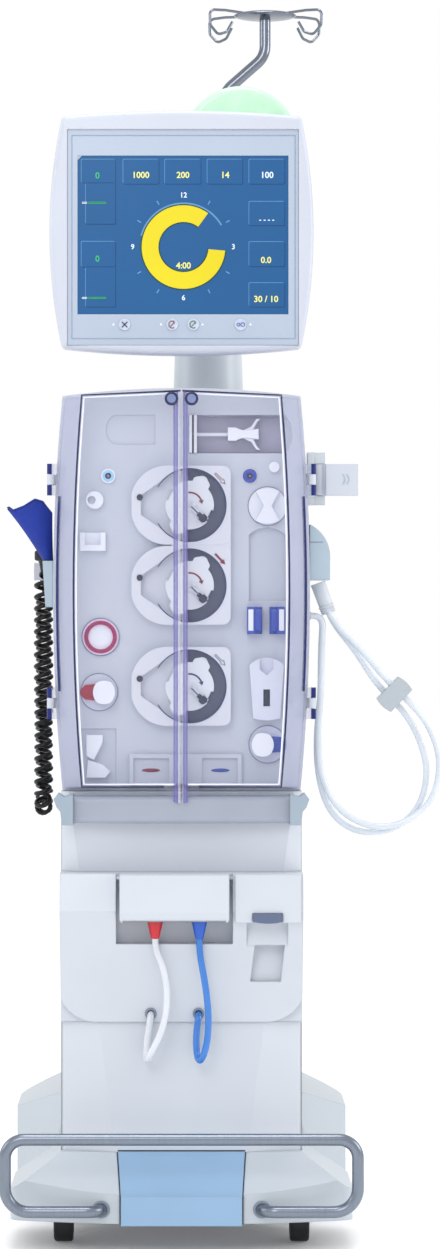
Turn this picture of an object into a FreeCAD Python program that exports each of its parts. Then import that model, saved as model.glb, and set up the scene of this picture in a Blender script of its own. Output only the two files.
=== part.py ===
import FreeCAD, Part
import Sketcher
import math
import os

# Haemodialysis machine on castors. Millimetres, +Z up, front towards -Y.
# The origin is on the floor, under the middle of the machine.

Vector = FreeCAD.Vector
document = FreeCAD.newDocument("dialysis_machine")

SIZES = {
    # general play between pieces
    "seat_gap": 0.3,
    "running_gap": 0.05,
    # castors
    "wheel_radius": 35,
    "wheel_width": 26,
    "axle_radius": 4,
    "castor_trail": 20,
    "fork_leg": 4,
    "fork_side_gap": 1.5,
    "fork_plate_radius": 18,
    "fork_plate_thick": 6,
    "stem_radius": 6,
    "front_castor_x": 160,
    "front_castor_y": 220,
    "rear_castor_x": 172,
    "rear_castor_y": 252,
    # chassis plate
    "chassis_bottom": 82,
    "chassis_thick": 10,
    "chassis_half": 150,
    "chassis_front": 246,
    "chassis_rear": 284,
    "chassis_arm": 22,
    # base cover
    "cover_bottom": 40,
    "cover_wall": 4,
    "foot_half": 230,
    "foot_front": 308,
    "foot_bow": 38,
    "foot_top": 124,
    "foot_edge": 76,
    "foot_side_edge": 80,
    "foot_back": 100,
    "plinth_margin": 9,
    "rear_foot_half": 240,
    "rear_foot_start": 70,
    "rear_foot_full": 160,
    "rear_foot_end": 330,
    "rear_foot_top": 171,
    "rear_foot_side": 135,
    "rear_foot_corner": 46,
    # brake pedal
    "pedal_half": 86,
    "pedal_foot_half": 80,
    "pedal_side_gap": 1.5,
    "pedal_back_gap": 1.5,
    "pedal_thick": 4,
    "pedal_rise": 1,
    "pedal_pivot_y": 234,
    "pedal_pivot_z": 104,
    "pedal_barrel": 5,
    "pedal_pin": 2.5,
    "pedal_lug": 5,
    # guard bar
    "bar_radius": 8,
    "bar_y": 322,
    "bar_inset": 6,
    "bar_low": 59,
    "bar_high": 155,
    "bar_end_x": 107,
    "bar_end_y": 268,
    "bar_end_bend": 20,
    "bar_low_bend": 32,
    "bar_high_bend": 25,
    "bar_tab_thick": 4,
    "bar_tab_half": 10,
    # lower cabinet
    "cabinet_half": 163.5,
    "cabinet_wall": 4,
    "cabinet_front": 205,
    "cabinet_rear": 200,
    "cabinet_top": 611.7,
    "panel_front": 222,
    "panel_low_flat": 85,
    "panel_high_flat": 152,
    # connector shelf
    "shelf_bottom": 300,
    "shelf_top": 503,
    "shelf_lip": 453,
    "shelf_front_top": 262,
    "shelf_front_lip": 270,
    "shelf_foot_front": 227,
    "shelf_under_bow": -9,
    "shelf_corner_rise": 31,
    "shelf_corner_run": 47,
    "recess_left": 88,
    "recess_right": 69,
    "recess_bottom": 408,
    "recess_back": 228,
    "recess_roof": 5,
    "roof_front": 248,
    "port_cover_left": 72,
    "port_cover_right": 161,
    "port_cover_bottom": 438,
    "port_cover_front": 273,
    "port_bay_left": 88,
    "port_bay_right": 143,
    "port_bay_bottom": 405,
    "port_bay_back": 248,
    "funnel_bottom": 356,
    "funnel_back": 226,
    "port_button_x": 115.5,
    "port_button_half": 20,
    "port_button_z": 444,
    "port_button_height": 13,
    "port_button_front": 277,
    "port_button_deep": 15,
    "port_button_travel": 3,
    "port_button_play": 0.4,
    # connector flap
    "flap_left": 83,
    "flap_right": 64,
    "flap_bottom": 438,
    "flap_front": 284,
    "flap_wall": 4,
    "flap_back": 252.5,
    "flap_pivot_y": 257,
    "flap_pivot_z": 497,
    "flap_pin": 2.5,
    "flap_pin_seat": 4,
    # hose couplings and their hoses
    "coupling_y": 256,
    "red_coupling_x": -35.4,
    "blue_coupling_x": 24,
    "coupling_stem": 7,
    "coupling_rise": 30,
    "coupling_wide": 11,
    "coupling_narrow": 5.5,
    "coupling_cone_top": 440,
    "coupling_bottom": 416,
    "hose_radius": 4.5,
    "hose_hole_z": 312,
    "hose_fold": 238,
    "hose_hole_radius": 6,
    "red_hole_x": -41.6,
    "blue_hole_x": 23,
    # grab rail
    "rail_half": 146,
    "rail_bottom": 570,
    "rail_top": 607,
    "rail_side_front": 246,
    "rail_bow": 10,
    "rail_round": 8,
    "cap_outer": 172,
    "cap_front": 256,
    # upper cabinet
    "upper_bottom": 612,
    "upper_corner": 1149,
    "upper_half": 162,
    "upper_bulge": 13,
    "upper_arch": 11,
    "upper_wall": 4,
    "upper_front": 196,
    "upper_rear": 185,
    # front plate of the blood side
    "plate_front": 198,
    "plate_thick": 12,
    "plate_gap": 0.3,
    "bay_left": 10,
    "bay_right": 151,
    "bay_low": 1071,
    "bay_high": 1123,
    "bay_deep": 22,
    "bay_wall": 3,
    "bay_bow": 10,
    "label_left": 103,
    "label_right": 36,
    "label_low": 1083,
    "label_high": 1123,
    "label_deep": 2,
    "channel_left": 92,
    "channel_right": 141,
    "channel_low": 870,
    "channel_high": 960,
    "channel_deep": 8,
    "channel_bow": 10,
    "lower_module_left": 71,
    "lower_module_right": 82,
    "lower_module_low": 621,
    "lower_module_high": 662,
    "lower_module_rise": 8,
    "lower_module_frame": 6,
    "corner_bay_left": 137,
    "corner_bay_right": 89,
    "corner_bay_low": 622,
    "corner_bay_high": 696,
    "corner_bay_deep": 2,
    # pumps
    "pump_x": 11,
    "pump_top_z": 1000,
    "pump_middle_z": 891,
    "pump_bottom_z": 754,
    "housing_right": 56,
    "housing_left": 79,
    "housing_half": 53.5,
    "housing_corner": 11,
    "housing_shoulder": 25,
    "housing_cheek": 14,
    "housing_bow": 13,
    "housing_deep": 16,
    "housing_floor": 2.5,
    "raceway_radius": 49,
    "entry_left": 66,
    "entry_half": 13,
    "entry_mouth": 44,
    "motor_half": 34,
    "motor_deep": 84,
    "shaft_radius": 6,
    "shaft_hole_gap": 0.6,
    "shaft_length": 60,
    "rotor_radius": 33,
    "rotor_arm_half": 12,
    "rotor_reach": 36,
    "rotor_back_gap": 1.5,
    "rotor_thick": 15,
    "roller_radius": 8,
    "roller_margin": 1.5,
    "rotor_tilt": 62,
    "crank_length": 27,
    "crank_half": 3,
    "crank_thick": 5,
    "crank_lift": 1,
    "crank_pin": 1.5,
    "crank_root": 4,
    "crank_ear": 3,
    "grip_length": 9,
    "grip_half": 5.5,
    "grip_rise": 2.5,
    # syringe driver
    "syringe_z": 1097,
    "syringe_y": 189,
    "syringe_rod": 2.5,
    "syringe_rod_end": 100,
    "flange_thick": 4,
    "flange_gap": 2.6,
    "flange_front": 205,
    "slider_left": 63,
    "slider_right": 105,
    "slider_half": 9,
    "slider_deep": 12,
    "wing_reach": 21,
    "wing_thick": 5,
    "slider_travel": 38,
    # sensors and ports on the front plate
    "black_port_x": -99.7,
    "blue_port_x": 92.9,
    "ports_z": 1040,
    "port_ring": 10,
    "port_hole": 4,
    "port_rise": 4,
    "pod_x": -110,
    "pod_z": 821,
    "pod_radius": 26,
    "pod_ring": 23.5,
    "pod_inner": 17.5,
    "pod_rise": 6,
    # tube clamps
    "left_clamp_x": -112,
    "left_clamp_z": 746,
    "right_clamp_x": 117,
    "right_clamp_z": 675,
    "clamp_radius": 26,
    "clamp_base": 2.5,
    "jaw_thick": 5,
    "jaw_half": 10,
    "jaw_overlap": 8,
    "plunger_shift": 7,
    "plunger_half_x": 17,
    "plunger_half_z": 14,
    "plunger_thick": 14,
    "plunger_stem": 4,
    "plunger_stem_gap": 0.4,
    "plunger_travel": 5,
    # line guides
    "crescent_x": -118,
    "crescent_z": 1007,
    "crescent_radius": 12,
    "bracket_left": 138,
    "bracket_right": 103,
    "bracket_low": 938,
    "bracket_high": 963,
    "large_knob_x": 117,
    "large_knob_z": 999,
    "large_knob_radius": 27,
    "small_knob_x": 126,
    "small_knob_z": 1052,
    "guide_rise": 12,
    # drip chamber holder
    "detector_left": 92,
    "detector_right": 139,
    "detector_low": 711,
    "detector_high": 783,
    "detector_bow": 10,
    "detector_rise": 19,
    "clip_left": 89,
    "clip_right": 140,
    "clip_low": 825,
    "clip_high": 862,
    "clip_opening": 10,
    "clip_rise": 22,
    "clip_bowl": 15,
    # doors
    "door_gap": 0.5,
    "door_front": 262,
    "door_wall": 3,
    "door_middle": 1.2,
    "door_back_half": 162,
    "door_back_bulge": 12.5,
    "door_front_half": 134,
    "door_front_bulge": 11,
    "door_back_low": 614,
    "door_front_low": 620,
    "door_back_high": 1147,
    "door_back_middle": 1156,
    "door_front_high": 1146,
    "door_front_middle": 1152,
    "door_edge_depth": 20,
    "door_bar_radius": 4.5,
    "door_bar_y": 263,
    "door_button_radius": 9,
    "door_button_x": 13.5,
    "door_button_z": 1141,
    "door_button_front": 270,
    "pull_half": 23.5,
    "pull_low": 598,
    "pull_thick": 3,
    "hinge_x": 178,
    "hinge_y": 200,
    "hinge_radius": 5,
    "hinge_pin": 2,
    "hinge_high_z": 1035,
    "hinge_low_z": 731,
    "hinge_knuckle_half": 7,
    "hinge_leaf_height": 14,
    "hinge_leaf_gap": 0.5,
    # neck and yoke
    "neck_x": 38,
    "neck_y": 10,
    "neck_low_radius": 49.5,
    "neck_high_radius": 45,
    "neck_bottom": 1162.5,
    "neck_top": 1300,
    "collar_margin": 1.5,
    "spigot_radius": 15,
    "spigot_length": 20,
    "turntable_radius": 42,
    "turntable_thick": 12,
    "turntable_gap": 0.4,
    "yoke_half": 24,
    "yoke_back": 36,
    "yoke_top": 1394,
    "tilt_y": 85,
    "tilt_z": 1370,
    "tilt_radius": 20,
    "tilt_pin": 5,
    "lug_thick": 7,
    "lug_gap": 0.6,
    "lug_radius": 14,
    # monitor
    "screen_half": 163,
    "screen_bulge": 17,
    "screen_low": 1214,
    "screen_high": 1530,
    "screen_sag": 9,
    "screen_arch": 8,
    "bezel_front": 200,
    "bezel_back": 172,
    "bezel_round": 7,
    "face_half": 157,
    "face_x": 2,
    "face_low": 1218,
    "face_high": 1511,
    "face_thick": 10,
    "face_set": 1.5,
    "glass_half": 143.5,
    "glass_low": 1260,
    "glass_high": 1476,
    "glass_deep": 1.2,
    "key_radius": 8.5,
    "key_rise": 0.8,
    "key_z": 1246,
    "mute_key_left": 77.4,
    "dial_key_left": 12.5,
    "start_key_right": 16.2,
    "confirm_key_right": 80.5,
    "shell_inset": 8,
    "shell_taper": 30,
    "shell_back": 136,
    "shell_wall": 5,
    "lamp_left": 14,
    "lamp_right": 148,
    "lamp_low": 1514,
    "lamp_side": 1540,
    "lamp_arch": 36,
    "lamp_front": 170,
    "lamp_back": 118,
    "lamp_round": 9,
    # infusion pole
    "pole_x": 61.4,
    "pole_y": 100,
    "pole_radius": 8,
    "pole_bottom": 780,
    "pole_bend_low": 1607,
    "pole_bend_high": 1659,
    "pole_top_x": 120.7,
    "pole_top": 1712,
    "pole_bend": 32,
    "pole_travel": 260,
    "guide_tube_radius": 11,
    "guide_bottom": 760,
    "guide_collar_low": 1160,
    "guide_collar_radius": 16,
    "guide_collar_height": 24,
    "guide_knob_radius": 10,
    "guide_knob_reach": 34,
    "hub_half": 45,
    "hub_thick": 6.5,
    "hook_radius": 2,
    "hook_angle": 28,
    # left side: cuff and its curly hose
    "pocket_outer": 190,
    "pocket_front": 180,
    "pocket_back": 128,
    "pocket_top": 925,
    "pocket_bottom": 862,
    "pocket_taper": 4,
    "pocket_wall": 2,
    "wall_gap": 0.3,
    "cuff_radius": 18,
    "cuff_wall": 2.5,
    "cuff_length": 74,
    "cuff_tilt": 28,
    "cuff_foot_x": 194,
    "cuff_foot_z": 936,
    "curl_radius": 13,
    "curl_x": 192,
    "curl_front_y": 112,
    "curl_rear_y": 56,
    "curl_top": 926,
    "curl_bottom": 584,
    "curl_sway": 1.2,
    "socket_low": 900,
    "socket_height": 24,
    "socket_outer": 206,
    # right side: holder arm, hose holder, looped hoses
    "arm_clamp_outer": 181,
    "arm_pivot_x": 190,
    "arm_pivot_y": 150,
    "arm_pin": 3,
    "arm_barrel": 7,
    "arm_low": 1015,
    "arm_high": 1058,
    "arm_end": 242,
    "arm_half": 13,
    "arm_wall": 3,
    "arm_clamp_low": 1032,
    "arm_clamp_high": 1074,
    "holder_outer": 203,
    "holder_low": 899,
    "holder_high": 975,
    "holder_front": 176,
    "holder_back": 100,
    "holder_bow": 9,
    "plug_top": 10.5,
    "plug_bottom": 9.8,
    "plug_length": 33,
    "plug_lean": 20,
    "plug_x": 188,
    "loop_front_y": 142,
    "loop_rear_y": 131,
    "loop_end_z": 850,
    "loop_end_x": 178,
    "hose_clip_x": 293,
    "hose_clip_z": 742,
    "hose_clip_half": 26,
    "hose_clip_along": 13,
    "hose_clip_front": 153,
    "hose_clip_back": 121,
    "hose_clip_turn": 44,
    "loop_hose_apart": 14,
    # rear panel and inner unit
    "rear_panel_inset": 2,
    "vent_count": 7,
    "vent_half": 70,
    "vent_height": 4,
    "vent_pitch": 12,
    "vent_low": 440,
    "nipple_rise": 51,
    "nipple_radius": 6,
    "nipple_length": 26,
    "inlet_x": -60,
    "drain_x": -20,
    "nipple_z": 190,
    "mains_x": 70,
    "mains_half": 24,
    "mains_height": 32,
    "mains_deep": 9,
    "unit_half": 118,
    "unit_front": 150,
    "unit_back": 120,
    "unit_height": 165,
    "tank_radius": 42,
    "tank_height": 90,
}

sheet = document.addObject("Spreadsheet::Sheet", "sizes")
for row, (alias, value) in enumerate(SIZES.items(), start=1):
    sheet.set(f"A{row}", alias)
    sheet.set(f"B{row}", str(value))
    sheet.setAlias(f"B{row}", alias)
document.recompute()


def number(x):
    """The plain value of a size or a number."""
    return x.value if isinstance(x, Size) else float(x)


def words(x):
    """The expression text of a size or a number."""
    return x.text if isinstance(x, Size) else repr(float(x))


class Size:
    """A length in millimetres, with the expression on the sheet that it comes from."""

    def __init__(self, value, text):
        self.value = float(value)
        self.text = text

    def __add__(self, other):
        return Size(self.value + number(other), f"({self.text} + {words(other)})")

    def __radd__(self, other):
        return Size(number(other) + self.value, f"({words(other)} + {self.text})")

    def __sub__(self, other):
        return Size(self.value - number(other), f"({self.text} - {words(other)})")

    def __rsub__(self, other):
        return Size(number(other) - self.value, f"({words(other)} - {self.text})")

    def __mul__(self, other):
        return Size(self.value * number(other), f"({self.text} * {words(other)})")

    def __rmul__(self, other):
        return Size(number(other) * self.value, f"({words(other)} * {self.text})")

    def __truediv__(self, other):
        return Size(self.value / number(other), f"({self.text} / {words(other)})")

    def __neg__(self):
        return Size(-self.value, f"(-1 * {self.text})")


class Sheet:
    """Gives each named cell of the sheet as a size."""

    def __getattr__(self, alias):
        return Size(sheet.getContents(alias).lstrip("'="), f"sizes.{alias}")


S = Sheet()


def bind(thing, name, size):
    """Sets a property from a size, and ties it to the sheet."""
    if isinstance(size, Size):
        thing.setExpression(name, size.text)
    elif name.startswith("."):
        thing.setExpression(name, words(size))
    else:
        setattr(thing, name, size)


def place(thing, x=0, y=0, z=0, turn=None):
    """Puts a body or primitive at a point, turned by (axis, degrees)."""
    if turn:
        thing.Placement = FreeCAD.Placement(Vector(), FreeCAD.Rotation(*turn))
    for letter, size in (("x", x), ("y", y), ("z", z)):
        bind(thing, f".Placement.Base.{letter}", size)


# Sketches, pads and pockets

NORMAL_SIGN = {"XY": 1, "XZ": -1, "YZ": 1}


def new_body(label):
    body = document.addObject("PartDesign::Body", label)
    body.Label = label
    return body


def end_of(sketch, edge, corner):
    """Which end of a sketch edge, 1 or 2, lies on a corner."""
    ends = [(sketch.getPoint(edge, end) - corner).Length for end in (1, 2)]
    return 1 if ends[0] <= ends[1] else 2


def hold(sketch, edge, end, u, v):
    """Ties one point of a sketch to its two coordinates."""
    for kind, axis, size in (("DistanceX", -2, u), ("DistanceY", -1, v)):
        if abs(number(size)) < 1e-9:
            sketch.addConstraint(Sketcher.Constraint("PointOnObject", edge, end, axis))
            continue
        item = sketch.addConstraint(Sketcher.Constraint(kind, -1, 1, edge, end, number(size)))
        if isinstance(size, Size):
            sketch.setExpression(f"Constraints[{item}]", size.text)


def draw_loop(sketch, corners):
    """A closed outline. A corner is (u, v), or (u, v, bulge) where the edge that leaves it is an
    arc that stands out to the right of the way it runs, by that much at its middle."""
    points = [Vector(number(c[0]), number(c[1]), 0) for c in corners]
    edges = []
    for i, corner in enumerate(corners):
        a, b = points[i], points[(i + 1) % len(points)]
        if len(corner) == 2:
            edges.append(sketch.addGeometry(Part.LineSegment(a, b), False))
            continue
        along = (b - a).normalize()
        middle = (a + b) / 2 + Vector(along.y, -along.x, 0) * number(corner[2])
        edges.append(sketch.addGeometry(Part.Arc(a, middle, b), False))
    for i, corner in enumerate(corners):
        before, after = edges[i - 1], edges[i]
        leaving, arriving = end_of(sketch, after, points[i]), end_of(sketch, before, points[i])
        sketch.addConstraint(Sketcher.Constraint("Coincident", before, arriving, after, leaving))
    for i, corner in enumerate(corners):
        hold(sketch, edges[i], end_of(sketch, edges[i], points[i]), corner[0], corner[1])
        if len(corner) == 3:
            after = corners[(i + 1) % len(corners)]
            du, dv, bulge = after[0] - corner[0], after[1] - corner[1], corner[2]
            flip = -1 if number(bulge) < 0 else 1
            radius = (du * du + dv * dv + 4 * (bulge * bulge)) / (8 * flip * bulge)
            item = sketch.addConstraint(Sketcher.Constraint("Radius", edges[i], number(radius)))
            if isinstance(radius, Size):
                sketch.setExpression(f"Constraints[{item}]", radius.text)


def draw(body, plane, at, loops=(), circles=()):
    """A sketch on one of the body's own planes, moved to a place along the world axis that
    the plane faces."""
    name = f"{body.Name}_sketch"
    sketch = body.newObject("Sketcher::SketchObject", name)
    face = [f for f in body.Origin.OriginFeatures if f.Role == f"{plane}_Plane"][0]
    sketch.AttachmentSupport = [(face, "")]
    sketch.MapMode = "FlatFace"
    bind(sketch, ".AttachmentOffset.Base.z", NORMAL_SIGN[plane] * at)
    for loop in loops:
        draw_loop(sketch, loop)
    for u, v, radius in circles:
        circle = Part.Circle(Vector(number(u), number(v), 0), Vector(0, 0, 1), number(radius))
        edge = sketch.addGeometry(circle, False)
        hold(sketch, edge, 3, u, v)
        item = sketch.addConstraint(Sketcher.Constraint("Radius", edge, number(radius)))
        if isinstance(radius, Size):
            sketch.setExpression(f"Constraints[{item}]", radius.text)
    return sketch


def add(body, plane, low, high, loops=(), circles=()):
    """Adds a pad that runs from low to high along the world axis."""
    feature = body.newObject("PartDesign::Pad", f"{body.Name}_pad")
    feature.Profile = draw(body, plane, low, loops, circles)
    feature.Reversed = plane == "XZ"
    bind(feature, "Length", high - low)
    return body


def cut(body, plane, low, high, loops=(), circles=()):
    """Cuts a pocket that runs from low to high along the world axis."""
    feature = body.newObject("PartDesign::Pocket", f"{body.Name}_pocket")
    start = low if plane == "XZ" else high
    feature.Profile = draw(body, plane, start, loops, circles)
    bind(feature, "Length", high - low)
    return body


def loft(body, plane, sections, kind="PartDesign::AdditiveLoft"):
    """A ruled loft through outlines at several places along the world axis."""
    sketches = [draw(body, plane, at, [loop]) for at, loop in sections]
    feature = body.newObject(kind, f"{body.Name}_loft")
    feature.Profile = sketches[0]
    feature.Sections = sketches[1:]
    feature.Ruled = True
    return body


def round_edges(body, radius, pick):
    """Rounds the edges of a body that pick chooses by their middle point and direction."""
    document.recompute()
    base, names = body.Tip, []
    for i, edge in enumerate(base.Shape.Edges, start=1):
        middle = edge.valueAt((edge.FirstParameter + edge.LastParameter) / 2)
        along = edge.tangentAt((edge.FirstParameter + edge.LastParameter) / 2)
        if pick(middle, along):
            names.append(f"Edge{i}")
    feature = body.newObject("PartDesign::Fillet", f"{body.Name}_round")
    feature.Base = (base, names)
    bind(feature, "Radius", radius)
    return body


def box(u0, u1, v0, v1):
    """The four corners of a rectangle."""
    return [(u0, v0), (u1, v0), (u1, v1), (u0, v1)]


def barrel(half, low, high, bulge, arch=0, sag=0, middle=0):
    """The outline of a casing seen from the front, with sides, top and bottom that bow out."""
    return [
        (middle - half, low) + ((sag,) if number(sag) else ()),
        (middle + half, low, bulge),
        (middle + half, high) + ((arch,) if number(arch) else ()),
        (middle - half, high, bulge),
    ]


# Nodes: each one is a single object of the document, and is written under its label

nodes = []


def node(label, thing):
    thing.Label = label
    nodes.append(thing)
    return thing


def group(label, things):
    """Several solids that one node holds."""
    compound = document.addObject("Part::Compound", label)
    compound.Links = things
    return node(label, compound)


def feature(label, shape):
    thing = document.addObject("Part::Feature", label)
    thing.Shape = shape
    return thing


# Tubes and cords

def bent_path(points, radii):
    """Straight runs joined by tangent arcs, with a radius for each inner point."""
    points = [Vector(*[number(c) for c in p]) for p in points]
    edges, start = [], points[0]
    for before, corner, after, radius in zip(points, points[1:], points[2:], radii):
        arriving = (corner - before).normalize()
        leaving = (after - corner).normalize()
        turn = arriving.getAngle(leaving)
        set_back = number(radius) * math.tan(turn / 2)
        enter, exit_point = corner - arriving * set_back, corner + leaving * set_back
        inward = (leaving - arriving).normalize()
        depth = number(radius) * (1 / math.cos(turn / 2) - 1)
        edges.append(Part.LineSegment(start, enter).toShape())
        edges.append(Part.Arc(enter, corner + inward * depth, exit_point).toShape())
        start = exit_point
    edges.append(Part.LineSegment(start, points[-1]).toShape())
    return Part.Wire(edges)


def tube(path, radius):
    """A round solid swept along a path."""
    first = path.Edges[0]
    start, way = first.valueAt(first.FirstParameter), first.tangentAt(first.FirstParameter)
    ring = Part.Circle(start, way, number(radius))
    return path.makePipeShell([Part.Wire(ring.toShape())], True, False)


def cord_radii(name, points):
    """The largest arcs that the runs of a cord leave room for."""
    points = [Vector(*[number(c) for c in p]) for p in points]
    radii = []
    for before, corner, after in zip(points, points[1:], points[2:]):
        turn = (corner - before).getAngle(after - corner)
        run = min((corner - before).Length, (after - corner).Length)
        radii.append(0.45 * run / math.tan(turn / 2))
    print(name, "radii", [round(r) for r in radii])
    return radii


def cord(label, points, radius):
    path = bent_path(points, cord_radii(label, points))
    solid = tube(path, radius)
    expected = math.pi * number(radius) ** 2 * path.Length
    print(label, "length", round(path.Length), "volume share", round(solid.Volume / expected, 4))
    return node(label, feature(label, solid))


# Castors

chassis_top = S.chassis_bottom + S.chassis_thick
fork_top = S.chassis_bottom - S.turntable_gap
fork_inner = S.wheel_width / 2 + S.fork_side_gap


def castor_fork(label, x, y):
    body = new_body(label)
    low = fork_top - S.fork_plate_thick
    add(body, "XY", low, fork_top, circles=[(0, 0, S.fork_plate_radius)])
    reach = S.castor_trail + S.axle_radius + S.fork_leg
    for side in (-1, 1):
        inner, outer = side * fork_inner, side * (fork_inner + S.fork_leg)
        start, end = (inner, outer) if side > 0 else (outer, inner)
        crown = S.fork_plate_radius - S.fork_leg
        leg = [
            (-crown, low), (S.castor_trail - reach + S.castor_trail, S.wheel_radius - S.axle_radius),
            (reach, S.wheel_radius - S.axle_radius), (reach, low),
        ]
        add(body, "YZ", start, end, [leg])
    bridge = fork_inner + S.fork_leg
    add(body, "XY", low, low + S.fork_leg, [box(-bridge, bridge, 0, reach)])
    add(body, "YZ", -bridge, bridge, circles=[(S.castor_trail, S.wheel_radius, S.axle_radius)])
    add(body, "XY", fork_top, chassis_top - S.seat_gap, circles=[(0, 0, S.stem_radius)])
    place(body, x, y, 0)
    return node(label, body)


def castor_wheel(label, x, y):
    body = new_body(label)
    half = S.wheel_width / 2
    add(body, "YZ", -half, half, circles=[(0, 0, S.wheel_radius)])
    hub, rim, dish = S.wheel_radius * 0.35, S.wheel_radius * 0.72, S.wheel_width * 0.16
    for low, high in ((half - dish, half), (-half, dish - half)):
        cut(body, "YZ", low, high, circles=[(0, 0, rim), (0, 0, hub)])
    cut(body, "YZ", -half, half, circles=[(0, 0, S.axle_radius + S.running_gap)])
    round_edges(body, S.wheel_width * 0.14, lambda p, t: math.hypot(p.y, p.z) > number(S.wheel_radius) - 0.1)
    place(body, x, y + S.castor_trail, S.wheel_radius)
    return node(label, body)


CASTORS = {
    "front_left": (-S.front_castor_x, -S.front_castor_y),
    "front_right": (S.front_castor_x, -S.front_castor_y),
    "rear_left": (-S.rear_castor_x, S.rear_castor_y),
    "rear_right": (S.rear_castor_x, S.rear_castor_y),
}


def make_castors():
    for corner, (x, y) in CASTORS.items():
        castor_fork(f"castor_fork_{corner}", x, y)
        castor_wheel(f"castor_wheel_{corner}", x, y)


def make_chassis():
    """A steel plate with an arm to each castor, lugs for the pedal's pin and tabs for the guard bar."""
    body = new_body("base_chassis")
    arm = S.chassis_arm
    right = [
        (S.front_castor_x + arm, -S.chassis_front),
        (S.front_castor_x + arm, arm - S.front_castor_y),
        (S.chassis_half, arm * 3 - S.front_castor_y),
        (S.chassis_half, S.rear_castor_y - arm * 3),
        (S.rear_castor_x + arm, S.rear_castor_y - arm),
        (S.rear_castor_x + arm, S.chassis_rear),
    ]
    outline = right + [(-u, v) for u, v in reversed(right)]
    holes = [(x, y, S.stem_radius + S.running_gap) for x, y in CASTORS.values()]
    add(body, "XY", S.chassis_bottom, chassis_top, [outline], holes)
    lug_inner = S.pedal_half + S.pedal_side_gap
    for side in (-1, 1):
        edges = sorted((side * lug_inner, side * (lug_inner + S.pedal_lug)), key=number)
        y, z, r = -S.pedal_pivot_y, S.pedal_pivot_z, S.pedal_barrel
        add(body, "YZ", edges[0], edges[1], [box(y - r, y + r, chassis_top - 1, z + r - 1)])
        edges = (side * (S.bar_end_x - S.bar_tab_half), side * (S.bar_end_x + S.bar_tab_half))
        tab = sorted(edges, key=number)
        tongue = box(tab[0], tab[1], -S.bar_end_y, 1 - S.chassis_front)
        add(body, "XY", S.chassis_bottom, chassis_top - 3, [tongue])
        plate = box(tab[0], tab[1], S.bar_low - S.bar_tab_half, S.chassis_bottom + 1)
        add(body, "XZ", -S.bar_end_y, S.bar_tab_thick - S.bar_end_y, [plate])
    pin = [(-S.pedal_pivot_y, S.pedal_pivot_z, S.pedal_pin)]
    add(body, "YZ", -lug_inner - 1, lug_inner + 1, circles=pin)
    return node("base_chassis", body)


# Base cover, pedal and guard bar

slope = (S.foot_top - S.foot_edge) / (S.foot_front - S.panel_front + S.pedal_back_gap)


def panel_flat(z):
    """Half the width of the cabinet's flat front at a height."""
    share = (z - chassis_top) / (S.cabinet_top - chassis_top)
    return S.panel_low_flat + (S.panel_high_flat - S.panel_low_flat) * share


def foot_solid(label, inset, drop):
    """The outside of the base cover, or the same form made smaller for the hollow under it."""
    body = new_body(label)
    low = S.cover_bottom - drop
    half, rear_half = S.foot_half - inset, S.rear_foot_half - inset
    plinth = S.cabinet_half + S.plinth_margin - inset
    top, back = S.foot_top - inset, -S.foot_back - inset
    side_front = S.foot_bow - S.foot_front + inset
    front = [(-half, side_front, S.foot_bow), (half, side_front), (half, back), (-half, back)]
    add(body, "XY", low, top, [front])
    roof, far = S.foot_top * 2, S.foot_front * 2
    edge_z = S.foot_edge - inset
    over_front = [
        (-S.panel_front, top), (-S.foot_front, edge_z), (-far, edge_z - S.foot_edge),
        (-far, roof), (-S.panel_front, roof),
    ]
    cut(body, "YZ", -far, far, [over_front])
    side_low = S.foot_side_edge - inset
    for side in (-1, 1):
        over_side = [
            (side * S.cabinet_half, top), (side * S.foot_half, side_low),
            (side * S.foot_half * 2, side_low - S.foot_top), (side * S.foot_half * 2, roof),
            (side * S.cabinet_half, roof),
        ]
        cut(body, "XZ", -far, back, [over_side])
    round_edges(body, 18 - inset, lambda p, t: abs(t.z) > 0.9 and p.y < number(back) + 1)
    add(body, "XY", low, top, [box(-plinth, plinth, back - 1, S.rear_foot_start + 30)])
    start, full, end = S.rear_foot_start + inset, S.rear_foot_full, S.rear_foot_end - inset
    corner = S.rear_foot_corner
    rear = [
        (-plinth, start), (plinth, start), (rear_half, full), (rear_half, end - corner, corner * 0.29),
        (rear_half - corner, end), (corner - rear_half, end, corner * 0.29), (-rear_half, end - corner),
        (-rear_half, full),
    ]
    rear_top, rear_side = S.rear_foot_top - inset, S.rear_foot_side - inset
    add(body, "XY", low, rear_top, [rear])
    for side in (-1, 1):
        over_rear = [
            (side * S.cabinet_half, rear_top), (side * S.rear_foot_half, rear_side),
            (side * S.rear_foot_half * 2, rear_side - S.rear_foot_top),
            (side * S.rear_foot_half * 2, roof * 2),
            (side * S.cabinet_half, roof * 2),
        ]
        cut(body, "XZ", start - 1, far, [over_rear])
    return body


def cabinet_footprint(gap):
    """The cabinet's plan where it passes through the base cover, with play all round."""
    flat = panel_flat(S.foot_top) + gap
    half, front = S.cabinet_half + gap, S.cabinet_front + gap
    return [
        (-half, S.cabinet_rear + gap), (-half, -front), (-flat - 1, -S.panel_front - gap),
        (flat + 1, -S.panel_front - gap), (half, -front), (half, S.cabinet_rear + gap),
    ]


def pedal_plan(gap):
    """The pedal's plan, or that of the slot round it: both get narrower towards the front."""
    back, nose = -S.panel_front - S.pedal_back_gap + gap, -S.foot_front - 12
    wide, narrow = S.pedal_half + gap, S.pedal_foot_half + gap
    return [(-wide, back), (-narrow, nose), (narrow, nose), (wide, back)]


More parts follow.
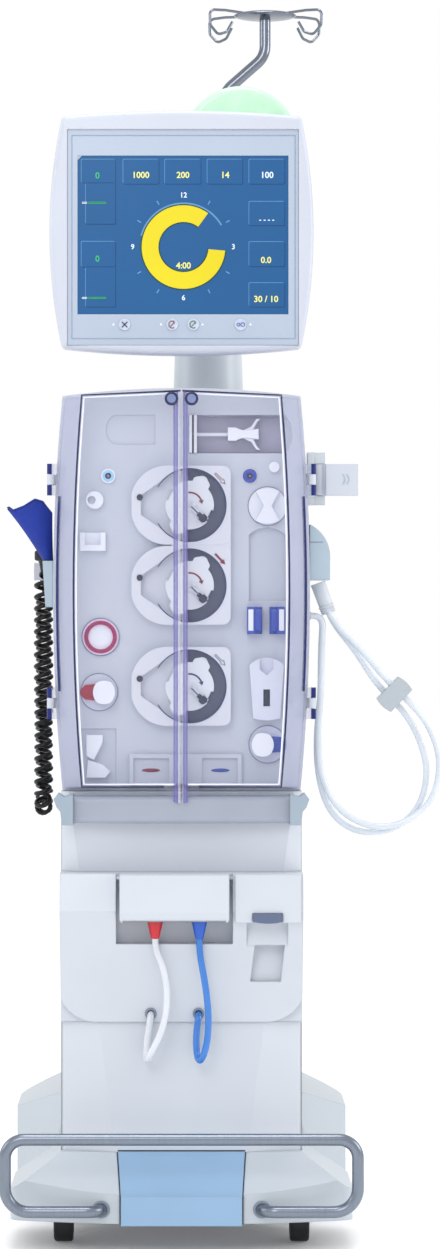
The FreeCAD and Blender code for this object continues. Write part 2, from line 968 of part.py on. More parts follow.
def make_base_cover():
    outside = foot_solid("cover_outside", 0, 0)
    hollow = foot_solid("cover_hollow", S.cover_wall, S.cover_wall)
    shell = document.addObject("Part::Cut", "cover_shell")
    shell.Base, shell.Tool = outside, hollow
    openings = new_body("cover_openings")
    add(openings, "XY", chassis_top, S.rear_foot_top + S.foot_top, [cabinet_footprint(S.seat_gap)])
    add(openings, "XY", 0, S.foot_top * 2, [pedal_plan(S.pedal_side_gap)])
    for side in (-1, 1):
        hole = [(side * S.bar_end_x, S.bar_low, S.bar_radius + S.seat_gap)]
        add(openings, "XZ", -S.foot_front - 5, 5 - S.bar_end_y, circles=hole)
    cover = document.addObject("Part::Cut", "base_cover")
    cover.Base, cover.Tool = shell, openings
    return node("base_cover", cover)


def make_brake_pedal():
    """A bent plate, level with the cover round it, on a barrel that turns on the chassis pin."""
    body = new_body("brake_pedal")
    back = -S.panel_front - S.pedal_back_gap
    top = S.foot_top + S.pedal_rise
    nose = -S.foot_front - S.pedal_rise
    edge = S.foot_edge + S.pedal_rise
    low = S.cover_bottom - 2
    inner = nose + S.pedal_thick
    profile = [
        (back, top - S.pedal_thick), (back, top), (nose, edge), (nose, low),
        (inner, low), (inner, edge - S.pedal_thick / 2),
    ]
    add(body, "YZ", -S.pedal_half, S.pedal_half, [profile])
    barrel_ring = [(-S.pedal_pivot_y, S.pedal_pivot_z, S.pedal_barrel)]
    add(body, "YZ", -S.pedal_half, S.pedal_half, circles=barrel_ring)
    neck = box(-S.pedal_pivot_y - 2, 2 - S.pedal_pivot_y, S.pedal_pivot_z, top - S.pedal_thick - slope * 8)
    add(body, "YZ", -S.pedal_half, S.pedal_half, [neck])
    bore = [(-S.pedal_pivot_y, S.pedal_pivot_z, S.pedal_pin + S.running_gap)]
    cut(body, "YZ", -S.pedal_half, S.pedal_half, circles=bore)
    left, front_left, front_right, right = pedal_plan(0)
    for corner, front_corner, side in ((left, front_left, -1), (right, front_right, 1)):
        outside = side * (S.pedal_half + 1)
        sliver = [corner, front_corner, (outside, front_corner[1]), (outside, corner[1])]
        cut(body, "XY", 0, top + 1, [sliver])
    return node("brake_pedal", body)


def make_guard_bar():
    low, high, y = S.bar_low, S.bar_high, -S.bar_y
    half = S.rear_foot_half - S.bar_inset
    right = [(S.bar_end_x, -S.bar_end_y, low), (S.bar_end_x, y, low), (half, y, low), (half, y, high)]
    left = [(-x, y_at, z) for x, y_at, z in reversed(right)]
    bends = [S.bar_end_bend, S.bar_low_bend, S.bar_high_bend]
    path = bent_path(right + left, bends + bends[::-1])
    return node("guard_bar", feature("guard_bar", tube(path, S.bar_radius)))


# Lower cabinet and its front

def make_lower_cabinet():
    body = new_body("lower_cabinet")
    wall, half = S.cabinet_wall, S.cabinet_half
    outer = box(-half, half, chassis_top, S.cabinet_top)
    inner = box(wall - half, half - wall, chassis_top + wall, S.cabinet_top - wall)
    add(body, "XZ", -S.cabinet_front, S.cabinet_rear, [outer, inner])
    return node("lower_cabinet", body)


def front_panel(label, low, high):
    """A front cover whose flat middle widens with height, between two slanted cheeks."""
    body = new_body(label)

    def plan(z):
        flat = panel_flat(z)
        return [
            (-S.cabinet_half, -S.cabinet_front), (-flat, -S.panel_front),
            (flat, -S.panel_front), (S.cabinet_half, -S.cabinet_front),
        ]

    loft(body, "XY", [(low, plan(low)), (high, plan(high))])
    relief = box(-S.panel_low_flat + 8, S.panel_low_flat - 8, low + 8, high - 8)
    cut(body, "XZ", S.cabinet_wall - S.panel_front, -S.cabinet_front, [relief])
    return body


def make_front_panels():
    lower = front_panel("lower_front_panel", chassis_top, S.shelf_bottom)
    upper = front_panel("upper_front_panel", S.shelf_top, S.cabinet_top)
    return group("front_panels", [lower, upper])


def make_connector_shelf():
    """The bowed middle section, with the hose recess, the port cover and the funnel under it."""
    body = new_body("connector_shelf")
    half = S.cabinet_half
    profile = [
        (-S.cabinet_front, S.shelf_top), (-S.shelf_front_top, S.shelf_top),
        (-S.shelf_front_lip, S.shelf_lip, S.shelf_under_bow), (-S.shelf_foot_front, S.shelf_bottom),
        (-S.cabinet_front, S.shelf_bottom),
    ]
    add(body, "YZ", -half, half, [profile])
    for side in (-1, 1):
        bow = side * -8
        corner = [
            (side * half, S.shelf_bottom - 5), (side * (half - S.shelf_corner_run), S.shelf_bottom - 5),
            (side * (half - S.shelf_corner_run), S.shelf_bottom, -bow),
            (side * half, S.shelf_bottom + S.shelf_corner_rise),
            (side * (half + 5), S.shelf_bottom + S.shelf_corner_rise),
            (side * (half + 5), S.shelf_bottom - 5),
        ]
        cut(body, "XZ", -S.shelf_front_lip - 20, -S.cabinet_front - 12, [corner])
    far = -S.shelf_front_lip - 20
    roof = S.shelf_top - S.recess_roof
    recess = box(-S.recess_left, S.recess_right, S.recess_bottom, roof)
    cut(body, "XZ", far, -S.recess_back, [recess])
    open_top = box(-S.recess_left, S.recess_right, roof - 1, S.shelf_top + 1)
    cut(body, "XZ", far, -S.roof_front, [open_top])
    cover = box(S.port_cover_left, S.port_cover_right, S.port_cover_bottom, S.shelf_top)
    add(body, "XZ", -S.port_cover_front, -S.shelf_front_top + 8, [cover])
    bay = box(S.port_bay_left, S.port_bay_right, S.port_bay_bottom, S.port_cover_bottom)
    cut(body, "XZ", far, -S.port_bay_back, [bay])
    funnel = [
        (S.port_bay_left + 11, S.port_bay_bottom + 1), (S.port_bay_right - 4, S.port_bay_bottom + 1),
        (S.port_bay_right - 9, S.funnel_bottom), (S.port_bay_left + 5, S.funnel_bottom),
    ]
    cut(body, "XZ", far, -S.funnel_back, [funnel])
    play = S.port_button_play
    x, z = S.port_button_x, S.port_button_z
    reach, rise = S.port_button_half + play, S.port_button_height / 2 + play
    button_slot = box(x - reach, x + reach, z - rise, z + rise)
    slot_back = S.port_button_deep - S.port_button_front + S.port_button_travel + play
    cut(body, "XZ", far, slot_back, [button_slot])
    seat = [(-S.flap_pivot_y, S.flap_pivot_z, S.flap_pin + S.running_gap)]
    cut(body, "YZ", -S.recess_left - S.flap_pin_seat, S.recess_right + S.flap_pin_seat, circles=seat)
    for x in (S.red_hole_x, S.blue_hole_x):
        cut(body, "XZ", far, -S.panel_front + 4, circles=[(x, S.hose_hole_z, S.hose_hole_radius)])
    return node("connector_shelf", body)


def make_port_button():
    body = new_body("port_button")
    x, z, half = S.port_button_x, S.port_button_z, S.port_button_half
    rise, bow = S.port_button_height / 2, 2.5
    face = [
        (x - half, z - rise + bow, bow), (x + half, z - rise + bow),
        (x + half, z + rise), (x - half, z + rise),
    ]
    add(body, "XZ", -S.port_button_front, S.port_button_deep - S.port_button_front, [face])
    return node("port_button", body)


def make_connector_flap():
    """A cap that hangs over the hose couplings and lifts on a pin at its top edge."""
    body = new_body("connector_flap")
    left, right, wall = -S.flap_left, S.flap_right, S.flap_wall
    add(body, "XZ", -S.flap_front, -S.flap_back, [box(left, right, S.flap_bottom, S.shelf_top)])
    lower_edge = number(S.flap_bottom)
    round_edges(body, 6, lambda p, t: abs(t.y) > 0.9 and p.z < lower_edge + 1)
    hollow = box(left + wall, right - wall, S.flap_bottom - 1, S.shelf_top - wall)
    cut(body, "XZ", wall - S.flap_front, 1 - S.flap_back, [hollow])
    clear_front = -S.flap_pivot_y + 14 - S.flap_wall * 4
    clear = box(clear_front, 1 - S.flap_back, S.flap_bottom - 1, S.flap_pivot_z - 6)
    cut(body, "YZ", left - 1, right + 1, [clear])
    bevel = [
        (-S.flap_front - 1, S.flap_bottom - 1), (-S.flap_front + 5, S.flap_bottom - 1),
        (-S.flap_front, S.flap_bottom + 14), (-S.flap_front - 1, S.flap_bottom + 14),
    ]
    cut(body, "YZ", left - 1, right + 1, [bevel])
    pin = [(-S.flap_pivot_y, S.flap_pivot_z, S.flap_pin)]
    seat = S.flap_pin_seat - S.seat_gap
    add(body, "YZ", -S.recess_left - seat, S.recess_right + seat, circles=pin)
    return node("connector_flap", body)


def coupling(label, x):
    body = new_body(label)
    y = -S.coupling_y
    add(body, "XY", S.coupling_cone_top, (S.flap_bottom + S.coupling_rise), circles=[(x, y, S.coupling_wide)])
    stem_z = (S.flap_bottom + S.coupling_rise) - S.coupling_wide
    add(body, "XZ", y, -S.recess_back - S.seat_gap, circles=[(x, stem_z, S.coupling_stem)])
    cone = document.addObject("Part::Cone", f"{label}_cone")
    bind(cone, "Radius1", S.coupling_narrow)
    bind(cone, "Radius2", S.coupling_wide)
    bind(cone, "Height", S.coupling_cone_top - S.coupling_bottom)
    place(cone, x, y, S.coupling_bottom)
    whole = document.addObject("Part::Fuse", f"{label}_whole")
    whole.Base, whole.Tool = body, cone
    return whole


def make_couplings():
    red = coupling("red_coupling", S.red_coupling_x)
    blue = coupling("blue_coupling", S.blue_coupling_x)
    return group("hose_couplings", [red, blue])


def make_dialysate_hoses():
    """Each short hose hangs from its coupling, turns back up and enters the shelf's lower edge."""
    y, end = -S.coupling_y, 4 - S.panel_front - S.seat_gap
    top = S.coupling_bottom - S.seat_gap
    fold = S.hose_fold
    white = [
        (S.red_coupling_x, y, top), (S.red_coupling_x, y, 402), (-26, -258, 382), (-19, -258.5, 352),
        (-20, -257.5, 318), (-27, -258, 290), (-36, -258.5, 271), (-42.5, -257.5, 259.5),
        (-45.5, -252, 252.5), (-47, -242.5, 252.5), (-47.5, -236.5, 260), (-46.5, -236.5, 276),
        (-44.5, -238, 291), (-42, -fold, S.hose_hole_z - 6.5), (S.red_hole_x, 6.5 - fold, S.hose_hole_z),
        (S.red_hole_x, end, S.hose_hole_z),
    ]
    blue = [
        (S.blue_coupling_x, y, top), (S.blue_coupling_x, y, 400), (28, -258, 376), (33.5, -258.5, 345),
        (36.5, -257.5, 312), (35.5, -258, 284), (32.5, -258.5, 268), (29, -257.5, 257.5),
        (25.5, -251.5, 250.5), (22.5, -242.5, 251.5), (20.5, -236.5, 259.5), (19.8, -236.5, 276),
        (20.5, -238, 291), (22.7, -fold, S.hose_hole_z - 6.5), (S.blue_hole_x, 6.5 - fold, S.hose_hole_z),
        (S.blue_hole_x, end, S.hose_hole_z),
    ]
    cord("white_hose", white, S.hose_radius)
    cord("blue_hose", blue, S.hose_radius)


def make_grab_rail():
    body = new_body("rail_grip")
    half, front = S.rail_half, -S.rail_side_front
    plan = [(-half, -S.panel_front), (-half, front, S.rail_bow), (half, front), (half, -S.panel_front)]
    add(body, "XY", S.rail_bottom, S.rail_top, [plan])
    edge = front + 1
    round_edges(body, S.rail_round, lambda p, t: abs(t.x) > 0.9 and p.y < number(edge))
    return group("grab_rail", [body] + rail_end_caps())


def rail_end_caps():
    """A cap at each end of the rail, with a horn that turns up for hanging a line on."""
    caps = []
    for side, label in ((-1, "left_rail_cap"), (1, "right_rail_cap")):
        body = new_body(label)
        inner, outer = S.rail_half, S.cap_outer
        top = S.upper_bottom - 1
        face = [
            (inner, S.rail_bottom - 2), (outer - 11, S.rail_bottom - 2), (outer - 9, S.rail_bottom + 16),
            (outer - 4, S.rail_bottom + 22), (outer, top - 8), (outer - 6, top),
            (outer - 14, top - 5), (inner, top - 2),
        ]
        face = [(side * u, v) for u, v in face]
        add(body, "XZ", -S.cap_front, -S.panel_front, [face])
        caps.append(body)
    return caps


# Upper cabinet

def upper_outline(inset):
    half = S.upper_half - inset
    return barrel(half, S.upper_bottom + inset, S.upper_corner - inset, S.upper_bulge, S.upper_arch)


def side_wall(z):
    """How far out the upper cabinet's side stands at a height."""
    middle = (S.upper_bottom + S.upper_corner) / 2
    share = (z - middle) / ((S.upper_corner - S.upper_bottom) / 2)
    return S.upper_half + S.upper_bulge - S.upper_bulge * (share * share)


def make_upper_cabinet():
    """A bowed casing that is open at the front, with the hinge arms, the neck's collar and the
    hose sockets on its outside."""
    body = new_body("upper_cabinet")
    add(body, "XZ", -S.upper_front, S.upper_rear, [upper_outline(0)])
    rear = number(S.upper_rear)
    round_edges(body, 14, lambda p, t: p.y > rear - 1)
    cut(body, "XZ", -S.upper_front, S.upper_rear - S.upper_wall, [upper_outline(S.upper_wall)])
    collar = [(S.neck_x, S.neck_y, S.neck_low_radius + S.collar_margin)]
    add(body, "XY", S.upper_corner + 3, S.neck_bottom, circles=collar)
    pole_hole = [(S.pole_x, S.pole_y, S.guide_tube_radius + S.seat_gap)]
    cut(body, "XY", S.upper_corner - 5, S.neck_bottom + 5, circles=pole_hole)
    for side in (-1, 1):
        for z in (S.hinge_high_z, S.hinge_low_z):
            arm_to_hinge(body, side, z)
    low, high = S.socket_low, S.socket_low + S.socket_height
    front, back = -S.curl_rear_y - S.curl_radius, S.curl_radius - S.curl_rear_y
    add(body, "XY", low, high, [box(-S.socket_outer, S.upper_wall / 2 - side_wall(low), front, back)])
    for y in (S.loop_front_y, S.loop_rear_y):
        gland = [(-y, S.loop_end_z, S.hose_radius + 0.8)]
        add(body, "YZ", side_wall(S.loop_end_z) - S.upper_wall / 2, S.loop_end_x, circles=gland)
    return node("upper_cabinet", body)


def arm_to_hinge(body, side, z):
    """A fixed knuckle with a pin standing out above and below it, on an arm from the side wall."""
    x, y, r = side * S.hinge_x, -S.hinge_y, S.hinge_radius
    low, high = z - S.hinge_knuckle_half, z + S.hinge_knuckle_half
    add(body, "XY", low, high, circles=[(x, y, r)])
    inner = side * (side_wall(z) - S.upper_wall / 2)
    arm = sorted((inner, side * (S.hinge_x + S.hinge_radius)), key=number)
    add(body, "XY", low, high, [box(arm[0], arm[1], 1 - S.upper_front, 16 - S.upper_front)])
    bridge = sorted((side * (S.hinge_x - 1), side * (S.hinge_x + S.hinge_radius)), key=number)
    add(body, "XY", low, high, [box(bridge[0], bridge[1], y, 2 - S.upper_front)])
    reach = S.hinge_knuckle_half + S.hinge_leaf_gap + S.hinge_leaf_height - S.hinge_leaf_gap * 2
    add(body, "XY", z - reach, z + reach, circles=[(x, y, S.hinge_pin)])


PUMPS = {"top": S.pump_top_z, "middle": S.pump_middle_z, "bottom": S.pump_bottom_z}
plate_back = S.plate_thick - S.plate_front


def make_front_plate():
    """The moulded face of the blood side: one plate with every recess that the lines lie in."""
    body = new_body("front_plate")
    face = -S.plate_front
    add(body, "XZ", face, plate_back, [upper_outline(S.upper_wall + S.plate_gap)])
    wall = S.bay_wall
    tray = box(S.bay_left - wall, S.bay_right + wall, S.bay_low - wall, S.bay_high + wall)
    add(body, "XZ", plate_back - 1, face + S.bay_deep + wall, [tray])
    bay = [
        (S.bay_left, S.bay_low), (S.bay_right - S.bay_bow, S.bay_low, S.bay_bow),
        (S.bay_right - S.bay_bow, S.bay_high), (S.bay_left, S.bay_high),
    ]
    cut(body, "XZ", face, face + S.bay_deep, [bay])
    label = [
        (-S.label_left + 12, S.label_low), (-S.label_right, S.label_low),
        (-S.label_right, S.label_high), (-S.label_left + 12, S.label_high, 12),
    ]
    cut(body, "XZ", face, face + S.label_deep, [label])
    channel = [
        (S.channel_left, S.channel_low), (S.channel_right, S.channel_low),
        (S.channel_right, S.channel_high, S.channel_bow), (S.channel_left, S.channel_high),
    ]
    cut(body, "XZ", face, face + S.channel_deep, [channel])
    corner_bay = box(-S.corner_bay_left, -S.corner_bay_right, S.corner_bay_low, S.corner_bay_high)
    cut(body, "XZ", face, face + S.corner_bay_deep, [corner_bay])
    module = box(-S.lower_module_left, S.lower_module_right, S.lower_module_low, S.lower_module_high)
    add(body, "XZ", face - S.lower_module_rise, face + 1, [module])
    frame = S.lower_module_frame
    for left, right in ((-S.lower_module_left, -S.pump_x), (S.pump_x * 2, S.lower_module_right)):
        window = box(left + frame, right - frame, S.lower_module_low, S.lower_module_high - frame)
        cut(body, "XZ", face - S.lower_module_rise, face - S.lower_module_rise / 2, [window])
    shafts = [(S.pump_x, z, S.shaft_radius + S.shaft_hole_gap) for z in PUMPS.values()]
    cut(body, "XZ", face, plate_back, circles=shafts)
    for x, z, way in CLAMPS.values():
        cut(body, "XZ", face, plate_back, [stem_slot(x, z, way)])
    return node("front_plate", body)


# Blood and substitution pumps

def housing(label, z):
    """A pump head: a moulded block with a round raceway and a mouth where the line enters."""
    body = new_body(label)
    x, face = S.pump_x, -S.plate_front
    right, left, half = S.housing_right, S.housing_left, S.housing_half
    shoulder, cheek, corner = S.housing_shoulder, S.housing_cheek, S.housing_corner
    outline = [
        (x - shoulder, z - half), (x + right - corner, z - half, corner * 0.29),
        (x + right, z - half + corner),
        (x + right, z + half - corner, corner * 0.29), (x + right - corner, z + half),
        (x - shoulder, z + half, S.housing_bow), (x - left, z + cheek), (x - left, z - cheek, S.housing_bow),
    ]
    add(body, "XZ", face - S.housing_deep, face, [outline])
    floor = face - S.housing_floor
    cut(body, "XZ", face - S.housing_deep, floor, circles=[(x, z, S.raceway_radius)])
    mouth = [
        (x - S.entry_left, z + S.entry_half), (x - S.entry_left, z - S.entry_half),
        (x - S.rotor_arm_half * 1.8, z - S.entry_mouth), (x - S.rotor_arm_half * 1.8, z + S.entry_mouth),
    ]
    cut(body, "XZ", face - S.housing_deep, floor, [mouth])
    cut(body, "XZ", floor - 1, face, circles=[(x, z, S.shaft_radius + S.shaft_hole_gap)])
    return body


def make_pump_housings():
    return group("pump_housings", [housing(f"{where}_pump_housing", z) for where, z in PUMPS.items()])


def motor(label, z):
    body = new_body(label)
    x, half, deep = S.pump_x, S.motor_half, S.motor_deep
    add(body, "XZ", plate_back, plate_back + deep / 3, [box(x - half, x + half, z - half, z + half)])
    add(body, "XZ", plate_back + deep / 3, plate_back + deep, circles=[(x, z, half - 4)])
    bore = [(x, z, S.shaft_radius + S.running_gap)]
    cut(body, "XZ", plate_back, plate_back + S.shaft_length, circles=bore)
    return body


def make_pump_motors():
    return group("pump_motors", [motor(f"{where}_pump_motor", z) for where, z in PUMPS.items()])


rotor_back = -S.plate_front - S.housing_floor - S.rotor_back_gap
rotor_front = rotor_back - S.rotor_thick


def rotor_body(label):
    """The rotor about its own axis: a round middle, two arms that fork round a roller, the shaft
    and two ears for the crank's pin."""
    body = new_body(label)
    front, back = rotor_front, rotor_back
    arm, reach = S.rotor_arm_half, S.rotor_reach
    add(body, "XZ", front, back, circles=[(0, 0, S.rotor_radius)])
    arms = [(-reach, -arm), (reach, -arm, arm * 0.5), (reach, arm), (-reach, arm, arm * 0.5)]
    add(body, "XZ", front, back, [arms])
    margin = S.roller_margin
    for side in (-1, 1):
        gap = box(side * (reach - S.roller_radius * 1.1), side * (reach + arm), -arm * 2, arm * 2)
        cut(body, "XZ", front + 3, back - 3 + margin, [gap])
        nick = box(-arm * 0.7, arm * 0.7, side * (S.rotor_radius - 4), side * (S.rotor_radius + 4))
        cut(body, "XZ", front, back, [nick])
    add(body, "XZ", back - 1, plate_back + S.shaft_length - margin, circles=[(0, 0, S.shaft_radius)])
    return body


def roller(label, side):
    body = new_body(label)
    margin = S.roller_margin
    low, high = rotor_front + 3 + margin / 2, rotor_back - 3 + margin / 2
    add(body, "XZ", low, high, circles=[(side * S.rotor_reach, 0, S.roller_radius)])
    return body


def crank_ears(body):
    """Two ears on the rotor's face that hold the crank's pin, about the crank's own axes."""
    base, tip = S.crank_root, rotor_front - S.crank_lift - S.crank_thick
    r = S.crank_pin * 2
    low = S.crank_half + 0.4
    y = crank_axis_y()
    for side in (-1, 1):
        ends = sorted((side * low, side * (low + S.crank_ear)), key=number)
        add(body, "XY", ends[0], ends[1], [box(base - r, base + r, tip, rotor_front + 1)])
        cut(body, "XY", ends[0], ends[1], circles=[(base, y, S.crank_pin + S.running_gap)])
    return body


def crank_axis_y():
    return rotor_front - S.crank_lift - S.crank_thick / 2


def crank_body(label):
    """A flat lever with a grip, folded down on the rotor's face."""
    body = new_body(label)
    root, half, thick = S.crank_root, S.crank_half, S.crank_thick
    back = rotor_front - S.crank_lift
    y = crank_axis_y()
    add(body, "XY", -half, half, circles=[(root, y, thick / 2)])
    add(body, "XY", -half, half, [box(root, root + S.crank_length, back - thick, back)])
    grip = box(root + S.crank_length - S.grip_length, root + S.crank_length, back - thick - S.grip_rise, back)
    add(body, "XY", -S.grip_half, S.grip_half, [grip])
    pin = S.crank_half + 0.4 + S.crank_ear
    add(body, "XY", -pin, pin, circles=[(root, y, S.crank_pin)])
    return body


def make_pump_rotors():
    turned = (Vector(0, 1, 0), 45)
    for where, z in PUMPS.items():
        arms = rotor_body(f"{where}_rotor_arms")
        arms.Placement = FreeCAD.Placement(Vector(), FreeCAD.Rotation(Vector(0, 1, 0), -SIZES["rotor_tilt"]))
        ears = crank_ears_body(f"{where}_crank_ears")
        ears.Placement = FreeCAD.Placement(Vector(), FreeCAD.Rotation(*turned))
        fused = document.addObject("Part::Fuse", f"{where}_rotor_whole")
        fused.Base, fused.Tool = arms, ears
        rollers = []
        for side, name in ((-1, "inner"), (1, "outer")):
            wheel = roller(f"{where}_{name}_roller", side)
            wheel.Placement = arms.Placement
            rollers.append(wheel)
        whole = group(f"{where}_pump_rotor", [fused] + rollers)
        place(whole, S.pump_x, 0, z)
        crank = crank_body(f"{where}_pump_crank")
        place(crank, S.pump_x, 0, z, turned)
        node(f"{where}_pump_crank", crank)


def crank_ears_body(label):
    """The ears stand on a small round pad, so that they are one solid before they join the rotor."""
    body = new_body(label)
    hub = [(S.crank_root, 0, S.crank_half + S.crank_ear + 2)]
    add(body, "XZ", rotor_front - 0.5, rotor_front + 4, circles=hub)
    return crank_ears(body)


# Syringe driver

def make_syringe_slider():
    """The carriage that pushes the syringe's plunger, with two sprung wings for the thumb rest."""
    body = new_body("syringe_slider")
    z, y = S.syringe_z, -S.syringe_y
    left, right, half, deep = S.slider_left, S.slider_right, S.slider_half, S.slider_deep
    waist = half * 0.62
    face = [
        (left, z - half), (left + 11, z - half, -2), (right - 11, z - waist), (right, z - half * 0.8),
        (right, z + half * 0.8), (right - 11, z + waist, -2), (left + 11, z + half), (left, z + half),
    ]
    add(body, "XZ", y - deep, y + deep * 0.7, [face])
    for side in (-1, 1):
        reach, thick = S.wing_reach, S.wing_thick
        wing = [
            (right - 24, z + side * waist * 0.7), (right - 8, z + side * waist * 0.9),
            (right - 2, z + side * (reach - 4)), (right + 2, z + side * reach), (right - 3, z + side * reach),
            (right - 10, z + side * (waist + thick)),
        ]
        add(body, "XZ", y - deep * 0.6, y + deep * 0.2, [wing])
    bore = [(y, z, S.syringe_rod + S.running_gap)]
    cut(body, "YZ", left - 1, right + 4, circles=bore)
    return node("syringe_slider", body)


# Small fixed fittings on the plate

def disc(label, x, z, radius, low, high):
    body = new_body(label)
    return add(body, "XZ", low, high, circles=[(x, z, radius)])


def make_line_sensors():
    face = -S.plate_front
    rise = S.port_rise
    ports = []
    for label, x in (("arterial_port", S.black_port_x), ("venous_port", S.blue_port_x)):
        body = disc(label, x, S.ports_z, S.port_ring, face - rise, face)
        cut(body, "XZ", face - rise, face - 1, circles=[(x, S.ports_z, S.port_hole)])
        ports.append(body)
    x, z, top = S.pod_x, S.pod_z, face - S.pod_rise
    pod = disc("pressure_pod", x, z, S.pod_radius, face - S.pod_rise / 2, face)
    add(pod, "XZ", top, face - 1, circles=[(x, z, S.pod_ring)])
    cut(pod, "XZ", top, face - S.pod_rise / 2, circles=[(x, z, S.pod_inner)])
    ports.append(pod)
    return group("line_sensors", ports)


CLAMPS = {
    "left": (S.left_clamp_x, S.left_clamp_z, -1),
    "right": (S.right_clamp_x, S.right_clamp_z, 1),
}


def stem_slot(x, z, way):
    """The slot that a clamp's stem slides in: it runs from the rest place away from the jaw."""
    reach = S.plunger_stem + S.plunger_stem_gap
    rest = x - way * S.plunger_shift
    far = rest - way * S.plunger_travel
    ends = sorted((rest, far), key=number)
    return [
        (ends[0], z - reach), (ends[1], z - reach, reach * 0.98),
        (ends[1], z + reach), (ends[0], z + reach, reach * 0.98),
    ]


def make_clamp_seats():
    """A round seat for each tube clamp, with the fixed jaw that the tube is pressed against."""
    face = -S.plate_front
    seats = []
    for side, (x, z, way) in CLAMPS.items():
        body = disc(f"{side}_clamp_seat", x, z, S.clamp_radius, face - S.clamp_base, face)
        low = face - S.clamp_base - S.jaw_thick
        tip, root = x + way * (S.clamp_radius - 1), x - way * S.jaw_overlap
        half = S.jaw_half
        jaw = [
            (root, z - half - 2), (tip - way * 6, z - half), (tip, z - half + 6),
            (tip, z + half - 6), (tip - way * 6, z + half), (root, z + half + 2),
        ]
        add(body, "XZ", low, face - S.clamp_base + 1, [jaw])
        cut(body, "XZ", low - 1, face, [stem_slot(x, z, way)])
        seats.append(body)
    return group("clamp_seats", seats)


def make_clamp_plungers():
    """The moving part of each clamp: an oval knob on a stem that slides away from the jaw."""
    face = -S.plate_front
    for side, (x, z, way) in CLAMPS.items():
        label = f"{side}_clamp_plunger"
        body = new_body(label)
        centre = x - way * S.plunger_shift
        back = face - S.clamp_base - S.jaw_thick - 0.5
        half_x, half_z = S.plunger_half_x, S.plunger_half_z
        knob = [
            (centre - half_x + 8, z - half_z, 2), (centre + half_x - 8, z - half_z, 6),
            (centre + half_x - 8, z + half_z, 2), (centre - half_x + 8, z + half_z, 6),
        ]
        add(body, "XZ", back - S.plunger_thick, back, [knob])
        add(body, "XZ", back - 1, plate_back - 2, circles=[(centre, z, S.plunger_stem)])
        node(label, body)


def make_line_guides():
    """Fixed clips and posts that the blood lines are pressed into, with the syringe's end stop."""
    face, rise = -S.plate_front, S.guide_rise
    things = []
    knob = disc("crescent_post", S.crescent_x, S.crescent_z, S.crescent_radius, face - rise, face)
    groove = [(S.crescent_x - S.crescent_radius * 0.35, S.crescent_z, S.crescent_radius * 0.45)]
    cut(knob, "XZ", face - rise, face - 3, circles=groove)
    things.append(knob)
    bracket = new_body("line_bracket")
    shape = box(-S.bracket_left, -S.bracket_right, S.bracket_low, S.bracket_high)
    add(bracket, "XZ", face - rise, face, [shape])
    notch = box(-S.bracket_left + 7, -S.bracket_right - 7, S.bracket_low + 8, S.bracket_high + 1)
    cut(bracket, "XZ", face - rise, face - 3, [notch])
    things.append(bracket)
    x, z, r = S.large_knob_x, S.large_knob_z, S.large_knob_radius
    large = disc("line_lock", x, z, r, face - 2, face)
    waist = [
        (x - r * 0.6, z - r * 0.75, 4), (x + r * 0.6, z - r * 0.75), (x + r * 0.2, z),
        (x + r * 0.6, z + r * 0.75, 4), (x - r * 0.6, z + r * 0.75), (x - r * 0.2, z),
    ]
    add(large, "XZ", face - rise, face - 1, [waist])
    things.append(large)
    x, z = S.small_knob_x, S.small_knob_z
    things.append(disc("small_post", x, z, S.crescent_radius * 0.6, face - rise * 0.7, face))
    floor = face + S.corner_bay_deep
    left, low, high = -S.corner_bay_left, S.corner_bay_low, S.corner_bay_high
    post = new_body("valve_post")
    head = [
        (left + 8, high - 8), (left + 8, high - 36), (left + 18, high - 42),
        (left + 30, high - 18), (left + 30, high - 8),
    ]
    add(post, "XZ", floor - rise * 1.4, floor, [head])
    things.append(post)
    foot = new_body("valve_foot")
    shoe = [
        (left + 8, low + 8), (left + 34, low + 8), (left + 40, low + 16),
        (left + 30, low + 26), (left + 10, low + 32),
    ]
    add(foot, "XZ", floor - rise, floor, [shoe])
    things.append(foot)
    stop = new_body("syringe_stop")
    low, high = S.bay_low + S.seat_gap, S.bay_high - S.seat_gap
    back = face + S.bay_deep
    thick, gap = S.flange_thick, S.flange_gap
    start = S.bay_left + S.seat_gap
    add(stop, "XZ", -S.flange_front, back, [box(start, start + thick, low, high)])
    add(stop, "XZ", -S.flange_front, back, [box(start + thick + gap, start + thick * 2 + gap, low, high)])
    add(stop, "XZ", back - 5, back, [box(start + 1, start + thick + gap + 1, low, high)])
    rod = [(-S.syringe_y, S.syringe_z, S.syringe_rod)]
    add(stop, "YZ", start + 1, S.syringe_rod_end, circles=rod)
    things.append(stop)
    return group("line_guides", things)


